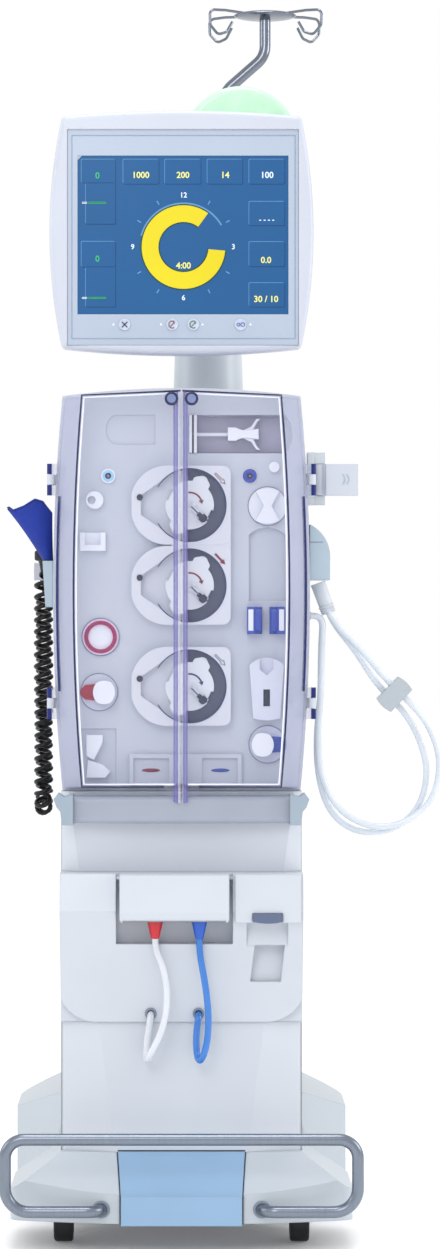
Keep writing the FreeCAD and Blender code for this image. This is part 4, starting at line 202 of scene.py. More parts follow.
def fit_hose(hose, node, finish):
    """Puts a hose in place of its CAD solid, which it hides."""
    hose.data.materials.append(finishes[finish])
    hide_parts(node)
    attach(hose, "machine")
    points = middle_line(hose)


def cloudy_colour(shader, colour, spread, scale, stretch=(1, 1, 1)):
    """A colour, given from 0 to 255, that drifts a little over the piece.
    Returns its output and the coordinates that it is drawn in."""
    parts = [part / 255 for part in colour]
    linear = [p / 12.92 if p <= 0.04045 else ((p + 0.055) / 1.055) ** 2.4 for p in parts]
    vector = add_node(shader, "Mapping", Vector=here(shader), Scale=stretch).outputs["Vector"]
    noise = add_node(shader, "TexNoise", Vector=vector, Scale=scale, Detail=3)
    ramp = add_node(shader, "ValToRGB", Fac=noise.outputs["Fac"])
    for stop, position, share in zip(ramp.color_ramp.elements, (0.3, 0.7), (1 - spread, 1 + spread)):
        stop.position = position
        stop.color = [*[min(1, part * share) for part in linear], 1]
    return ramp.outputs["Color"], vector


def grain_bump(shader, vector, scale, depth, edge):
    """Fine grain in the surface, with every sharp edge rounded by a hair."""
    noise = add_node(shader, "TexNoise", Vector=vector, Scale=scale, Detail=2)
    soft_edge = add_node(shader, "Bevel", Radius=edge).outputs["Normal"]
    bump = add_node(shader, "Bump", Height=noise.outputs["Fac"], Distance=depth, Normal=soft_edge)
    feed(shader, Normal=bump.outputs["Normal"])


def plastic(name, colour, roughness=0.38, spread=0.03, grain=1200, depth=0.00003, edge=0.0012):
    """Moulded plastic: even colour with a slight drift, fine grain and soft edges."""
    shader = start_finish(name, roughness)
    tone, vector = cloudy_colour(shader, colour, spread, 9)
    feed(shader, Base_Color=tone)
    grain_bump(shader, vector, grain, depth, edge)


def soft_tube(name, colour, see_through):
    """Soft hose: milky, smooth, with faint rings from the die that drew it."""
    shader = start_finish(name, 0.22)
    tone, vector = cloudy_colour(shader, colour, 0.05, 25)
    feed(shader, Base_Color=tone, Subsurface_Weight=see_through)
    feed(shader, Subsurface_Radius=(0.004, 0.004, 0.005), Coat_Weight=0.3, Coat_Roughness=0.12)
    grain_bump(shader, vector, 350, 0.00008, 0.0005)


soft_tube("white_hose_finish", (207, 211, 218), 0.2)
soft_tube("blue_hose_finish", (48, 118, 200), 0.1)
for colour, route in (("white", WHITE_HOSE_ROUTE), ("blue", BLUE_HOSE_ROUTE)):
    hose = lay_line("dialysate_hose_" + colour, route, HOSE_RADIUS)
    fit_hose(hose, colour + "_hose", colour + "_hose_finish")


# Two drain hoses leave the plug under the hose holder, pass the clip at the
# far right, hang in a wide loop and come back up to the cabinet's side. They are
# milky silicone.
FRONT_LOOP_Y = -0.142
REAR_LOOP_Y = -0.131
FRONT_LOOP = [
    (0.1993, 0.8641), (0.2075, 0.8415), (0.2457, 0.8065), (0.2784, 0.7658), (0.3173, 0.7283),
    (0.341, 0.699), (0.357, 0.655), (0.350, 0.602), (0.317, 0.568), (0.268, 0.556),
    (0.220, 0.577), (0.193, 0.622), (0.187, 0.680), (0.1915, 0.738), (0.193, 0.790),
    (0.194, 0.820), (0.195, 0.841), (0.188, 0.850), (0.178, 0.850),
]
REAR_LOOP = [
    (0.1993, 0.8641), (0.2075, 0.8415), (0.2409, 0.8015), (0.2687, 0.7557), (0.3076, 0.7182),
    (0.328, 0.683), (0.341, 0.636), (0.329, 0.584), (0.292, 0.553), (0.241, 0.550),
    (0.204, 0.578), (0.188, 0.628), (0.186, 0.684), (0.192, 0.740), (0.1925, 0.790),
    (0.1935, 0.820), (0.195, 0.841), (0.188, 0.850), (0.178, 0.850),
]
soft_tube("silicone_finish", (206, 213, 221), 0.3)
for where, y, outline in (("front", FRONT_LOOP_Y, FRONT_LOOP), ("rear", REAR_LOOP_Y, REAR_LOOP)):
    route = [(x, y, z) for x, z in outline]
    hose = lay_line("drain_hose_" + where, route, HOSE_RADIUS)
    fit_hose(hose, "loop_hose_" + where, "silicone_finish")


# The cuff's air hose is a black curled one, of glossy polyurethane. It falls
# from the cuff's port down the cabinet's left side, turns in a U and climbs back
# to a socket behind, with a straight lead at both ends.
CURL_ROUTE = [
    (-0.192, -0.112, 0.9257), (-0.192, -0.1122, 0.865), (-0.1925, -0.1108, 0.780),
    (-0.1915, -0.1125, 0.700), (-0.192, -0.1105, 0.640), (-0.192, -0.112, 0.6004),
    (-0.192, -0.0956, 0.584), (-0.192, -0.0724, 0.584), (-0.192, -0.056, 0.6004),
    (-0.192, -0.0575, 0.640), (-0.1925, -0.0555, 0.700), (-0.1915, -0.0572, 0.780),
    (-0.192, -0.056, 0.850), (-0.192, -0.056, 0.8997),
]
CURL_HOSE_RADIUS = 0.0031
CURL_TURN_RADIUS = 0.0098
CURL_PITCH = 0.0160
CURL_LEAD = 0.012
CURL_OPENING = 0.02
CURL_STEPS_PER_TURN = 14


def frames_along(points):
    """At each point of a line, two cross directions that never twist."""
    along = [(b - a).normalized() for a, b in zip(points, points[1:])]
    along.append(along[-1])
    side = along[0].orthogonal().normalized()
    frames = []
    for direction in along:
        side = (side - direction * side.dot(direction)).normalized()
        frames.append((side, direction.cross(side)))
    return frames


def even_points(points, step):
    """The same line, walked in equal steps."""
    walked = [points[0]]
    left = step
    for a, b in zip(points, points[1:]):
        run = (b - a).length
        while run >= left and run > 0:
            a = a + (b - a) * (left / run)
            walked.append(a)
            run -= left
            left = step
        left -= run
    return walked


curl_guide = lay_line("curl_guide", CURL_ROUTE, 0.001)
curl_step = CURL_PITCH / CURL_STEPS_PER_TURN
curl_middle = even_points(middle_line(curl_guide), curl_step)
bpy.data.objects.remove(curl_guide)
curl_points = []
for i, (middle, (side, up)) in enumerate(zip(curl_middle, frames_along(curl_middle))):
    to_end = min(i, len(curl_middle) - 1 - i) * curl_step
    open_up = min(1, max(0, (to_end - CURL_LEAD) / CURL_OPENING))
    reach = CURL_TURN_RADIUS * open_up * open_up * (3 - 2 * open_up)
    turn = 2 * math.pi * i / CURL_STEPS_PER_TURN
    curl_points.append(middle + side * (reach * math.cos(turn)) + up * (reach * math.sin(turn)))
curl_shader = start_finish("curl_finish", 0.28)
curl_tone, curl_vector = cloudy_colour(curl_shader, (4, 4, 7), 0.35, 60)
feed(curl_shader, Base_Color=curl_tone, Specular_IOR_Level=0.3)
grain_bump(curl_shader, curl_vector, 700, 0.00005, 0.0005)
curl_hose = lay_line("cuff_air_hose", curl_points, CURL_HOSE_RADIUS, 1, 2)
fit_hose(curl_hose, "curly_hose", "curl_finish")


# The steel base plate and the four swivel castors carry the machine. Each
# castor has a black nylon fork, a rubber tyre, and a moulded cap on both ends
# of its axle. The works inside are painted like the plate.
SIDES = ((-1, "left"), (1, "right"))


def paint(finish, *names):
    """Gives CAD nodes their finish, in every slot of each object."""
    for name in names:
        piece = nodes[name]
        if not piece.material_slots:
            piece.data.materials.append(finishes[finish])
        for place in piece.material_slots:
            place.material = finishes[finish]


def settle(name):
    """Names the new primitive and puts its place, turn and size into its mesh."""
    piece = bpy.context.object
    piece.name = name
    piece.data.name = name
    bpy.ops.object.transform_apply(location=True, rotation=True, scale=True)
    return piece


def add_disc(name, place, radius, depth, axis="Y", sides=48):
    """A round made at its place, with its axis along one way."""
    turns = {"X": (0, math.pi / 2, 0), "Y": (math.pi / 2, 0, 0), "Z": (0, 0, 0)}
    bpy.ops.object.select_all(action="DESELECT")
    bpy.ops.mesh.primitive_cylinder_add(
        vertices=sides, radius=radius, depth=depth, location=place, rotation=turns[axis],
    )
    return settle(name)


def alone(piece):
    """Selects only this piece and makes it the active one."""
    bpy.ops.object.select_all(action="DESELECT")
    piece.select_set(True)
    bpy.context.view_layer.objects.active = piece


def choose_all():
    bpy.ops.mesh.select_all(action="SELECT")


def edit(piece):
    """Opens the piece alone in edit mode, with all of it selected."""
    alone(piece)
    bpy.ops.object.mode_set(mode="EDIT")
    choose_all()


def choose(piece, kind, wanted):
    """In edit mode, selects only the faces, edges or verts that the test wants."""
    modes = {"faces": "FACE", "edges": "EDGE", "verts": "VERT"}
    bpy.ops.mesh.select_mode(type=modes[kind])
    bpy.ops.mesh.select_all(action="DESELECT")
    mesh = bmesh.from_edit_mesh(piece.data)
    for item in getattr(mesh, kind):
        item.select_set(bool(wanted(item)))
    mesh.select_flush_mode()
    bmesh.update_edit_mesh(piece.data)


def close(outward=False):
    """Leaves edit mode, if asked with every face turned outward."""
    if outward:
        choose_all()
        bpy.ops.mesh.normals_make_consistent(inside=False)
    bpy.ops.object.mode_set(mode="OBJECT")


def shape(piece, kind, **settings):
    """Shapes the piece with one modifier, which is applied at once."""
    alone(piece)
    modifier = piece.modifiers.new(kind.lower(), kind)
    for name, value in settings.items():
        setattr(modifier, name, value)
    bpy.ops.object.modifier_apply(modifier=modifier.name)


def ease(piece, width, segments=2):
    """Rounds every sharp edge of the piece by a little."""
    sharp = math.radians(40)
    shape(piece, "BEVEL", width=width, segments=segments, limit_method="ANGLE", angle_limit=sharp)
    return piece


def fit(piece, finish, body="machine"):
    """Smooths the piece, gives it its finish and lets it ride on its body."""
    alone(piece)
    bpy.ops.object.shade_smooth_by_angle(angle=math.radians(35))
    piece.data.materials.clear()
    piece.data.materials.append(finishes[finish])
    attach(piece, body)
    return piece


def dished(name, place, radius, depth, lip, axis="Y", way=-1):
    """A disc whose outer face is set in a little inside a narrow lip."""
    disc = add_disc(name, place, radius, depth, axis)
    index = "XYZ".index(axis)
    edit(disc)
    choose(disc, "faces", lambda face: face.normal[index] * way > 0.9)
    bpy.ops.mesh.inset(thickness=lip)
    bpy.ops.mesh.inset(thickness=lip / 3, depth=-lip / 3)
    close()
    return ease(disc, lip / 5)


plastic("chassis_paint", (123.6, 126.4, 131.8), 0.5, 0.1, 500, 0.00006)
plastic("fork_nylon", (26, 27, 34), 0.42, 0.15, 700, 0.00005)
plastic("tyre_rubber", (20, 20, 24), 0.6, 0.2, 900, 0.0001)
plastic("cap_grey", (92, 95, 102), 0.4, 0.08, 900, 0.00003)
paint("chassis_paint", "base_chassis", "hydraulics_unit", "pump_motors")
AXLE_HEIGHT = 0.035
AXLE_CAP_RADIUS = 0.0075
AXLE_CAP_DEPTH = 0.0016
for corner in ("front_left", "front_right", "rear_left", "rear_right"):
    fork, wheel = "castor_fork_" + corner, "castor_wheel_" + corner
    paint("fork_nylon", fork)
    paint("tyre_rubber", wheel)
    wheel_low, wheel_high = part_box(wheel)
    wheel_y = (wheel_low[1] + wheel_high[1]) / 2
    middle_x = (wheel_low[0] + wheel_high[0]) / 2
    leg_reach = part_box(fork)[1][0] - middle_x
    for side, where in SIDES:
        place = (middle_x + side * leg_reach, wheel_y, AXLE_HEIGHT)
        name = f"{corner}_{where}_axle_cap"
        cap = dished(name, place, AXLE_CAP_RADIUS, AXLE_CAP_DEPTH, AXLE_CAP_DEPTH, "X", side)
        fit(cap, "cap_grey", "fork_" + corner)


# The base cover is one large white moulding over the chassis. A rubber ring
# closes the cover round each end of the guard bar.
def hollow(piece, border, depth):
    """Leaves only the border of a flat piece and draws it out to a depth."""
    edit(piece)
    bpy.ops.mesh.inset(thickness=border)
    bpy.ops.mesh.delete(type="FACE")
    choose_all()
    bpy.ops.mesh.extrude_region_move(TRANSFORM_OT_translate={"value": (0, depth, 0)})
    close(outward=True)
    return piece


def add_ring(name, place, inner, outer, front, back, sides=56):
    """A flat ring that faces the front, between two depths."""
    x, z = place
    bpy.ops.object.select_all(action="DESELECT")
    bpy.ops.mesh.primitive_circle_add(
        vertices=sides, radius=outer, fill_type="NGON", location=(x, front, z),
        rotation=(math.pi / 2, 0, 0),
    )
    return hollow(settle(name), outer - inner, back - front)


plastic("white_shell", (180, 188, 196), 0.36, 0.02, 900, 0.00003, 0.0025)
plastic("seal_grey", (120, 130, 146), 0.55, 0.05, 900, 0.00004)
paint("white_shell", "base_cover")
BAR_END_X, BAR_END_Z = 0.107, 0.059
BAR_RADIUS = 0.008
COVER_FRONT_Y = -0.3005
for side, where in SIDES:
    seal = add_ring(
        where + "_bar_seal", (side * BAR_END_X, BAR_END_Z), BAR_RADIUS - 0.0002,
        BAR_RADIUS + 0.0035, COVER_FRONT_Y - 0.0035, COVER_FRONT_Y + 0.004, 40,
    )
    fit(ease(seal, 0.0008), "seal_grey")


# The brake pedal is a light blue moulding in the cover's slot, which turns on
# a pin under its back. Dark lines paint the shade in the slot's gap behind the
# pedal and down both of its sides, over the slope and the front.
def add_block(name, low, high):
    """A box made between two corners, ready to be shaped."""
    bpy.ops.object.select_all(action="DESELECT")
    bpy.ops.mesh.primitive_cube_add(size=1, location=[(a + b) / 2 for a, b in zip(low, high)])
    bpy.context.object.scale = [b - a for a, b in zip(low, high)]
    return settle(name)


plastic("pedal_finish", (133, 165, 196), 0.34, 0.03, 1500, 0.00004, 0.002)
plastic("gap_shade", (22, 30, 62), 0.6, 0.1, 900, 0.00002)
paint("pedal_finish", "brake_pedal")
PEDAL_BACK_HALF, PEDAL_BACK_Y = 0.086, -0.2235
SLOT_LINE = 0.0010
SLOT_DEPTH = 0.003
# The slot's corners: depth, height and half of the width.
SLOT_TOP = (PEDAL_BACK_Y, 0.1240, 0.0863)
SLOT_BEND = (-0.3075, 0.0762, 0.0811)
SLOT_FOOT = (-0.3075, 0.0400, 0.0811)
# Painted shade: a dark strip behind the pedal's back edge, where the slot's gap lies in shadow.
back_line = add_block(
    "pedal_back_line", (-PEDAL_BACK_HALF, PEDAL_BACK_Y + 0.0007, 0.1248),
    (PEDAL_BACK_HALF, PEDAL_BACK_Y + 0.0014, 0.1264),
)
fit(ease(back_line, 0.0002), "gap_shade")
# Painted shade: dark strips in the slot's gap down both sides of the pedal, over the slope and the
# front.
for side, where in SIDES:
    for run, start, end, back, down in (
        ("slope", SLOT_TOP, SLOT_BEND, 0, -SLOT_DEPTH),
        ("front", SLOT_BEND, SLOT_FOOT, SLOT_DEPTH, 0),
    ):
        line = add_block(f"pedal_{where}_{run}_line", (0, 0, 0), (1, 1, 1))
        for v in line.data.vertices:
            across, along, under = v.co
            y, z, half = [a + (b - a) * along for a, b in zip(start, end)]
            v.co = (side * (half + SLOT_LINE * across), y + back * under, z + down * under)
        edit(line)
        close(outward=True)
        fit(line, "gap_shade")


# The guard bar is a polished steel tube, bent back at each end. It passes
# through the cover and is held by the chassis.
def metal(name, colour, roughness, stretch):
    """Bare or plated metal with fine lines along one way."""
    shader = start_finish(name, roughness)
    tone, vector = cloudy_colour(shader, colour, 0.06, 40, stretch)
    feed(shader, Base_Color=tone, Metallic=1)
    grain_bump(shader, vector, 90, 0.00002, 0.0006)


metal("bar_chrome", (123.6, 131.8, 144.1), 0.3, (10, 1, 1))
paint("bar_chrome", "guard_bar")


# The lower cabinet is bent sheet steel, powder coated white. Two moulded
# panels and the bowed connector shelf with its flap close its front.
plastic("cabinet_coat", (190, 196, 205), 0.42, 0.02, 1400, 0.00004, 0.0015)
plastic("panel_white", (193, 199, 208), 0.36, 0.02, 1000, 0.00003, 0.003)
plastic("slate", (84, 96, 124), 0.4, 0.05, 1200, 0.00004)
paint("cabinet_coat", "lower_cabinet", "rear_panel")
paint("panel_white", "front_panels", "connector_shelf", "connector_flap")
paint("slate", "port_button")


# Thin rubber rings line the two holes where the dialysate hoses go back into
# the shelf's lower edge.
GROMMET_INNER, GROMMET_OUTER = 0.0047, 0.0078
GROMMET_FRONT_Y, GROMMET_BACK_Y = -0.2312, -0.2262
for colour, route in (("white", WHITE_HOSE_ROUTE), ("blue", BLUE_HOSE_ROUTE)):
    hole = (route[-1][0], route[-1][2])
    grommet = add_ring(
        colour + "_hose_grommet", hole, GROMMET_INNER, GROMMET_OUTER, GROMMET_FRONT_Y,
        GROMMET_BACK_Y, 40,
    )
    fit(ease(grommet, 0.0006), "seal_grey")


# The couplings are red on the left and blue on the right, moulded in hard
# plastic with grip ribs, each locked on its short stem.
def along_axis(shader, axis):
    """How far along one axis each point of the piece lies."""
    return add_node(shader, "SeparateXYZ", Vector=here(shader)).outputs[axis]


def maths(shader, operation, *terms):
    """The result of one operation on outputs or numbers."""
    node = add_node(shader, "Math", {"operation": operation})
    for entry, term in zip(node.inputs, terms):
        supply(entry, term)
    return node.outputs["Value"]


def side_of(shader, axis, limit, both_sides=False):
    """1 where the place along one axis is beyond a limit, and 0 elsewhere."""
    reach = along_axis(shader, axis)
    if both_sides:
        reach = maths(shader, "ABSOLUTE", reach)
    return maths(shader, "GREATER_THAN", reach, limit)


def mixed(shader, factor, near, far):
    """The first colour where the factor is 0, the second where it is 1."""
    mix = add_node(shader, "Mix", {"data_type": "RGBA"}, Factor=factor, A=near, B=far)
    return mix.outputs["Result"]


def two_tone(name, near, far, axis, limit, both_sides=False, roughness=0.34):
    """Moulded plastic in two colours that meet at a plane."""
    shader = start_finish(name, roughness)
    near_tone, vector = cloudy_colour(shader, near, 0.03, 20)
    far_tone, _ = cloudy_colour(shader, far, 0.04, 20)
    factor = side_of(shader, axis, limit, both_sides)
    feed(shader, Base_Color=mixed(shader, factor, near_tone, far_tone))
    grain_bump(shader, vector, 1200, 0.00003, 0.001)


two_tone("coupling_finish", (196, 30, 46), (26, 86, 188), "X", 0)
paint("coupling_finish", "hose_couplings")
COUPLING_Y = -0.256
COUPLING_RIB_RADIUS = 0.0117
COUPLING_RIB_HEIGHTS = (0.4445, 0.4505, 0.4565)
for shade, x in (("red", -0.0354), ("blue", 0.024)):
    for i, z in enumerate(COUPLING_RIB_HEIGHTS):
        place = (x, COUPLING_Y, z)
        rib = add_disc(f"{shade}_coupling_rib_{i}", place, COUPLING_RIB_RADIUS, 0.002, "Z", 40)
        fit(ease(rib, 0.0007), "coupling_finish")


# The grab rail runs across the front under the doors, with a grey-blue rubber
# horn at each end.
RAIL_HALF = 0.1461
two_tone("rail_finish", (150, 157, 172), (146, 160, 174), "X", RAIL_HALF, True, 0.36)
paint("rail_finish", "grab_rail")


# The upper cabinet is bowed sheet steel, powder coated. Its front plate is a
# lilac moulding with bays for the syringe, the sensors and the clamps.
HINGE_REACH = 0.1765
plastic("plate_lilac", (188, 193, 206), 0.4, 0.02, 1100, 0.00003, 0.0015)
plastic("small_white", (222, 225, 236), 0.32, 0.02, 1200, 0.00002, 0.001)
two_tone("casing_coat", (192, 197, 207), (190, 195, 206), "X", HINGE_REACH, True, 0.42)
paint("casing_coat", "upper_cabinet")
paint("plate_lilac", "front_plate")
paint("small_white", "line_guides")


# Rubber reliefs taper down over the curled hose where it leaves the cuff's
# port and enters its socket. The plug of the drain hoses is made the same way.
RELIEF_CUTS = 7
RELIEF_GROOVE = 0.86


def add_relief(name, place, direction, wide, narrow, length):
    """A tapered sleeve with three grooves, from its wide foot along a direction."""
    foot = Vector(place)
    along = Vector(direction).normalized()
    bpy.ops.object.select_all(action="DESELECT")
    bpy.ops.mesh.primitive_cone_add(
        vertices=32, radius1=wide, radius2=narrow, depth=length,
        location=foot + along * (length / 2), rotation=along.to_track_quat("Z", "Y").to_euler(),
    )
    relief = settle(name)
    edit(relief)
    for i in range(1, RELIEF_CUTS):
        choose_all()
        bpy.ops.mesh.bisect(plane_co=foot + along * (length * i / RELIEF_CUTS), plane_no=along)
    for i in range(2, RELIEF_CUTS, 2):
        middle = foot + along * (length * i / RELIEF_CUTS)
        choose(relief, "verts", lambda v: abs((v.co - middle).dot(along)) < length / 40)
        bpy.ops.transform.resize(value=(RELIEF_GROOVE,) * 3, center_override=middle)
    close()
    return relief


plastic("relief_black", (30, 31, 36), 0.5, 0.12, 800, 0.00005)
for name, place in (("cuff_port_relief", CURL_ROUTE[0]), ("curl_socket_relief", CURL_ROUTE[-1])):
    relief = add_relief(name, place, (0, 0, -1), 0.0062, 0.0035, 0.013)
    fit(relief, "relief_black")


# Each pump head is a lilac block with a round raceway. The right half of the
# raceway is dark grey, on its floor and its wall. A black stud beside the mouth
# senses the line. A printed arrow shows which way the line runs.
def turned(piece, centre, degrees):
    """Turns a piece made at the middle by an angle, and moves it to its centre."""
    turn = Matrix.Rotation(math.radians(degrees), 4, "Y")
    piece.data.transform(Matrix.Translation((centre[0], 0, centre[1])) @ turn)
    return piece


def add_arc(name, centre, inner, outer, front, back, start, end, steps=40):
    """Part of a flat ring that faces the front, spun between two angles in degrees."""
    place = ((inner + outer) / 2, (front + back) / 2, 0)
    bpy.ops.object.select_all(action="DESELECT")
    bpy.ops.mesh.primitive_plane_add(size=1, location=place)
    bpy.context.object.scale = (outer - inner, abs(front - back), 1)
    arc = turned(settle(name), centre, -start)
    edit(arc)
    bpy.ops.mesh.spin(
        steps=steps, angle=math.radians(end - start), center=(centre[0], 0, centre[1]),
        axis=(0, 1, 0),
    )
    choose_all()
    bpy.ops.mesh.remove_doubles(threshold=0.00001)
    close(outward=True)
    return arc


def add_arrow(name, tail, tip, half_shaft, half_head, head, front, thick, rim=0):
    """A raised straight arrow on a front face. With a rim, only its outline is left."""
    start, end = Vector((tail[0], front, tail[1])), Vector((tip[0], front, tip[1]))
    along = (end - start).normalized()
    neck = (end - start).length - head
    bpy.ops.object.select_all(action="DESELECT")
    bpy.ops.mesh.primitive_plane_add(size=1, location=(neck / 2, 0, 0))
    bpy.context.object.scale = (neck, half_shaft * 2, 1)
    arrow = settle(name)
    edit(arrow)
    choose(arrow, "edges", lambda edge: all(abs(v.co.x - neck) < 0.00001 for v in edge.verts))
    bpy.ops.mesh.extrude_region_move(TRANSFORM_OT_translate={"value": (0, 0, 0)})
    bpy.ops.transform.resize(value=(1, half_head / half_shaft, 1), center_override=(neck, 0, 0))
    bpy.ops.mesh.extrude_region_move(TRANSFORM_OT_translate={"value": (head, 0, 0)})
    bpy.ops.mesh.merge(type="CENTER")
    bpy.ops.mesh.select_mode(type="FACE")
    choose_all()
    bpy.ops.mesh.dissolve_limited(angle_limit=0.01)
    choose_all()
    if rim:
        bpy.ops.mesh.inset(thickness=rim)
        bpy.ops.mesh.delete(type="FACE")
        choose_all()
    bpy.ops.mesh.extrude_region_move(TRANSFORM_OT_translate={"value": (0, 0, thick)})
    close(outward=True)
    outwards = Vector((0, -1, 0))
    turn = Matrix((along, outwards.cross(along), outwards)).transposed().to_4x4()
    arrow.data.transform(Matrix.Translation(start) @ turn)
    return arrow


plastic("pump_lilac", (204, 207, 219), 0.36, 0.03, 1200, 0.00003, 0.0015)
plastic("deep_grey", (76, 82, 108), 0.3, 0.06, 900, 0.00003)
plastic("stud_black", (14, 16, 34), 0.3, 0.1, 900, 0.00002)
plastic("mark_red", (116, 6, 30), 0.4, 0.05, 900, 0.00001)
plastic("mark_blue", (26, 44, 98), 0.4, 0.05, 900, 0.00001)
paint("pump_lilac", "pump_housings")
PUMP_X = 0.011
PUMP_HEIGHTS = {"top": 1.000, "middle": 0.891, "bottom": 0.754}
RACEWAY_RADIUS = 0.049
RACEWAY_FLOOR_Y = -0.2005
HOUSING_FRONT_Y = -0.214
STUD_X, STUD_RISE = -0.0566, 0.0105
for where, z in PUMP_HEIGHTS.items():
    centre = (PUMP_X, z)
    for name, inner, outer, front, back, half_turn, steps, finish in (
        ("raceway_dark_floor", 0.030, RACEWAY_RADIUS - 0.0002,
         RACEWAY_FLOOR_Y - 0.0006, RACEWAY_FLOOR_Y + 0.0004, 96, 40, "deep_grey"),
        ("raceway_wall", RACEWAY_RADIUS - 0.0006, RACEWAY_RADIUS + 0.0001,
         HOUSING_FRONT_Y + 0.0004, RACEWAY_FLOOR_Y, 96, 40, "deep_grey"),
        ("raceway_rim", RACEWAY_RADIUS - 0.0002, RACEWAY_RADIUS + 0.0012,
         HOUSING_FRONT_Y - 0.0005, HOUSING_FRONT_Y + 0.0004, 150, 64, "mark_blue"),
    ):
        name = f"{where}_{name}"
        arc = add_arc(name, centre, inner, outer, front, back, -half_turn, half_turn, steps)
        fit(arc, finish)
    stud_place = (STUD_X, HOUSING_FRONT_Y - 0.0004, z + STUD_RISE)
    stud = dished(where + "_line_stud", stud_place, 0.0043, 0.002, 0.0015)
    fit(stud, "stud_black")
    arrow = add_arrow(
        where + "_flow_arrow", (0.0455, z + 0.0430), (0.0595, z + 0.0282), 0.0015, 0.0038,
        0.0070, HOUSING_FRONT_Y - 0.0001, 0.0004, 0 if where == "middle" else 0.0008,
    )
    fit(arrow, "mark_blue" if where == "bottom" else "mark_red")

# The two upper heads touch: a short bridge and a seam join their housings.
BRIDGE_FRONT_Y, BRIDGE_BACK_Y = HOUSING_FRONT_Y + 0.0001, -0.1990
for name, left, right, low, high in (
    ("upper_housing_bridge", 0.0488, 0.0669, 0.9335, 0.9575),
    ("upper_housing_seam", -0.0140, 0.0490, 0.9440, 0.9470),
):
    bridge = add_block(name, (left, BRIDGE_FRONT_Y, low), (right, BRIDGE_BACK_Y, high))
    fit(ease(bridge, 0.0001), "pump_lilac")


# Each rotor is a light moulding on a steel shaft, with two rollers and a
# folding crank that ends in a navy grip. A curved arrow shows its turn.
ROTOR_FRONT_Y = -0.217
TURN_ARROW_RADIUS = 0.0170
TURN_ARROW_HALF = 0.0011
CRANK_FRONT_Y = -0.223
CRANK_TURN = 45
CRANK_GROOVE_START, CRANK_GROOVE_END, CRANK_GROOVE_HALF = 0.003, 0.0182, 0.0010
GRIP_X, GRIP_DROP, GRIP_REACH_ROUND = 0.0276, 0.0166, 0.0078


def crank_finish(name, grip_place):
    """Light grey for the crank's arm, and navy near the middle of its grip."""
    shader = start_finish(name, 0.34)
    arm_tone, vector = cloudy_colour(shader, (206, 209, 222), 0.03, 20)
    grip_tone, _ = cloudy_colour(shader, (8, 12, 44), 0.1, 40)
    distance = add_node(shader, "VectorMath", {"operation": "DISTANCE"})
    supply(distance.inputs[0], here(shader))
    supply(distance.inputs[1], grip_place)
    away = maths(shader, "GREATER_THAN", distance.outputs["Value"], GRIP_REACH_ROUND)
    feed(shader, Base_Color=mixed(shader, away, grip_tone, arm_tone))
    grain_bump(shader, vector, 1200, 0.00003, 0.0008)


def on_turn_arrow(z, angle):
    """A point of the turn arrow's middle line, at an angle in radians."""
    return PUMP_X + TURN_ARROW_RADIUS * math.cos(angle), z + TURN_ARROW_RADIUS * math.sin(angle)


plastic("rotor_finish", (212, 216, 226), 0.3, 0.03, 1200, 0.00003, 0.0012)
for where, z in PUMP_HEIGHTS.items():
    arrow_ink = "mark_blue" if where == "bottom" else "mark_red"
    rotor = where + "_rotor"
    paint("rotor_finish", where + "_pump_rotor")
    crank_finish(where + "_crank_finish", (GRIP_X, CRANK_FRONT_Y - 0.001, z - GRIP_DROP))
    paint(where + "_crank_finish", where + "_pump_crank")
    sweep = add_arc(
        where + "_turn_arrow", (PUMP_X, z), TURN_ARROW_RADIUS - TURN_ARROW_HALF,
        TURN_ARROW_RADIUS + TURN_ARROW_HALF, ROTOR_FRONT_Y - 0.0004, ROTOR_FRONT_Y + 0.0002,
        20, 96, 20,
    )
    fit(sweep, arrow_ink, rotor)
    head = add_arrow(
        where + "_turn_arrow_head", on_turn_arrow(z, 0.42), on_turn_arrow(z, 0.08),
        TURN_ARROW_HALF, 0.0034, 0.0052, ROTOR_FRONT_Y - 0.0001, 0.0004,
    )
    fit(head, arrow_ink, rotor)
    groove = add_block(
        where + "_crank_groove", (CRANK_GROOVE_START, CRANK_FRONT_Y - 0.0002, -CRANK_GROOVE_HALF),
        (CRANK_GROOVE_END, CRANK_FRONT_Y + 0.0006, CRANK_GROOVE_HALF),
    )
    groove = turned(ease(groove, 0.0002), (PUMP_X, z), CRANK_TURN)
    fit(groove, "deep_grey", where + "_crank")


# The syringe driver is a white carriage with two grip wings on a steel rod.
# It runs in a bay with a darker lining.
plastic("bay_grey", (172, 170, 188), 0.5, 0.03, 1200, 0.00003, 0.001)
paint("small_white", "syringe_slider")
lining = add_block("syringe_bay_lining", (0.0225, -0.1772, 1.0725), (0.1385, -0.1758, 1.1215))
fit(ease(lining, 0.0004), "bay_grey")


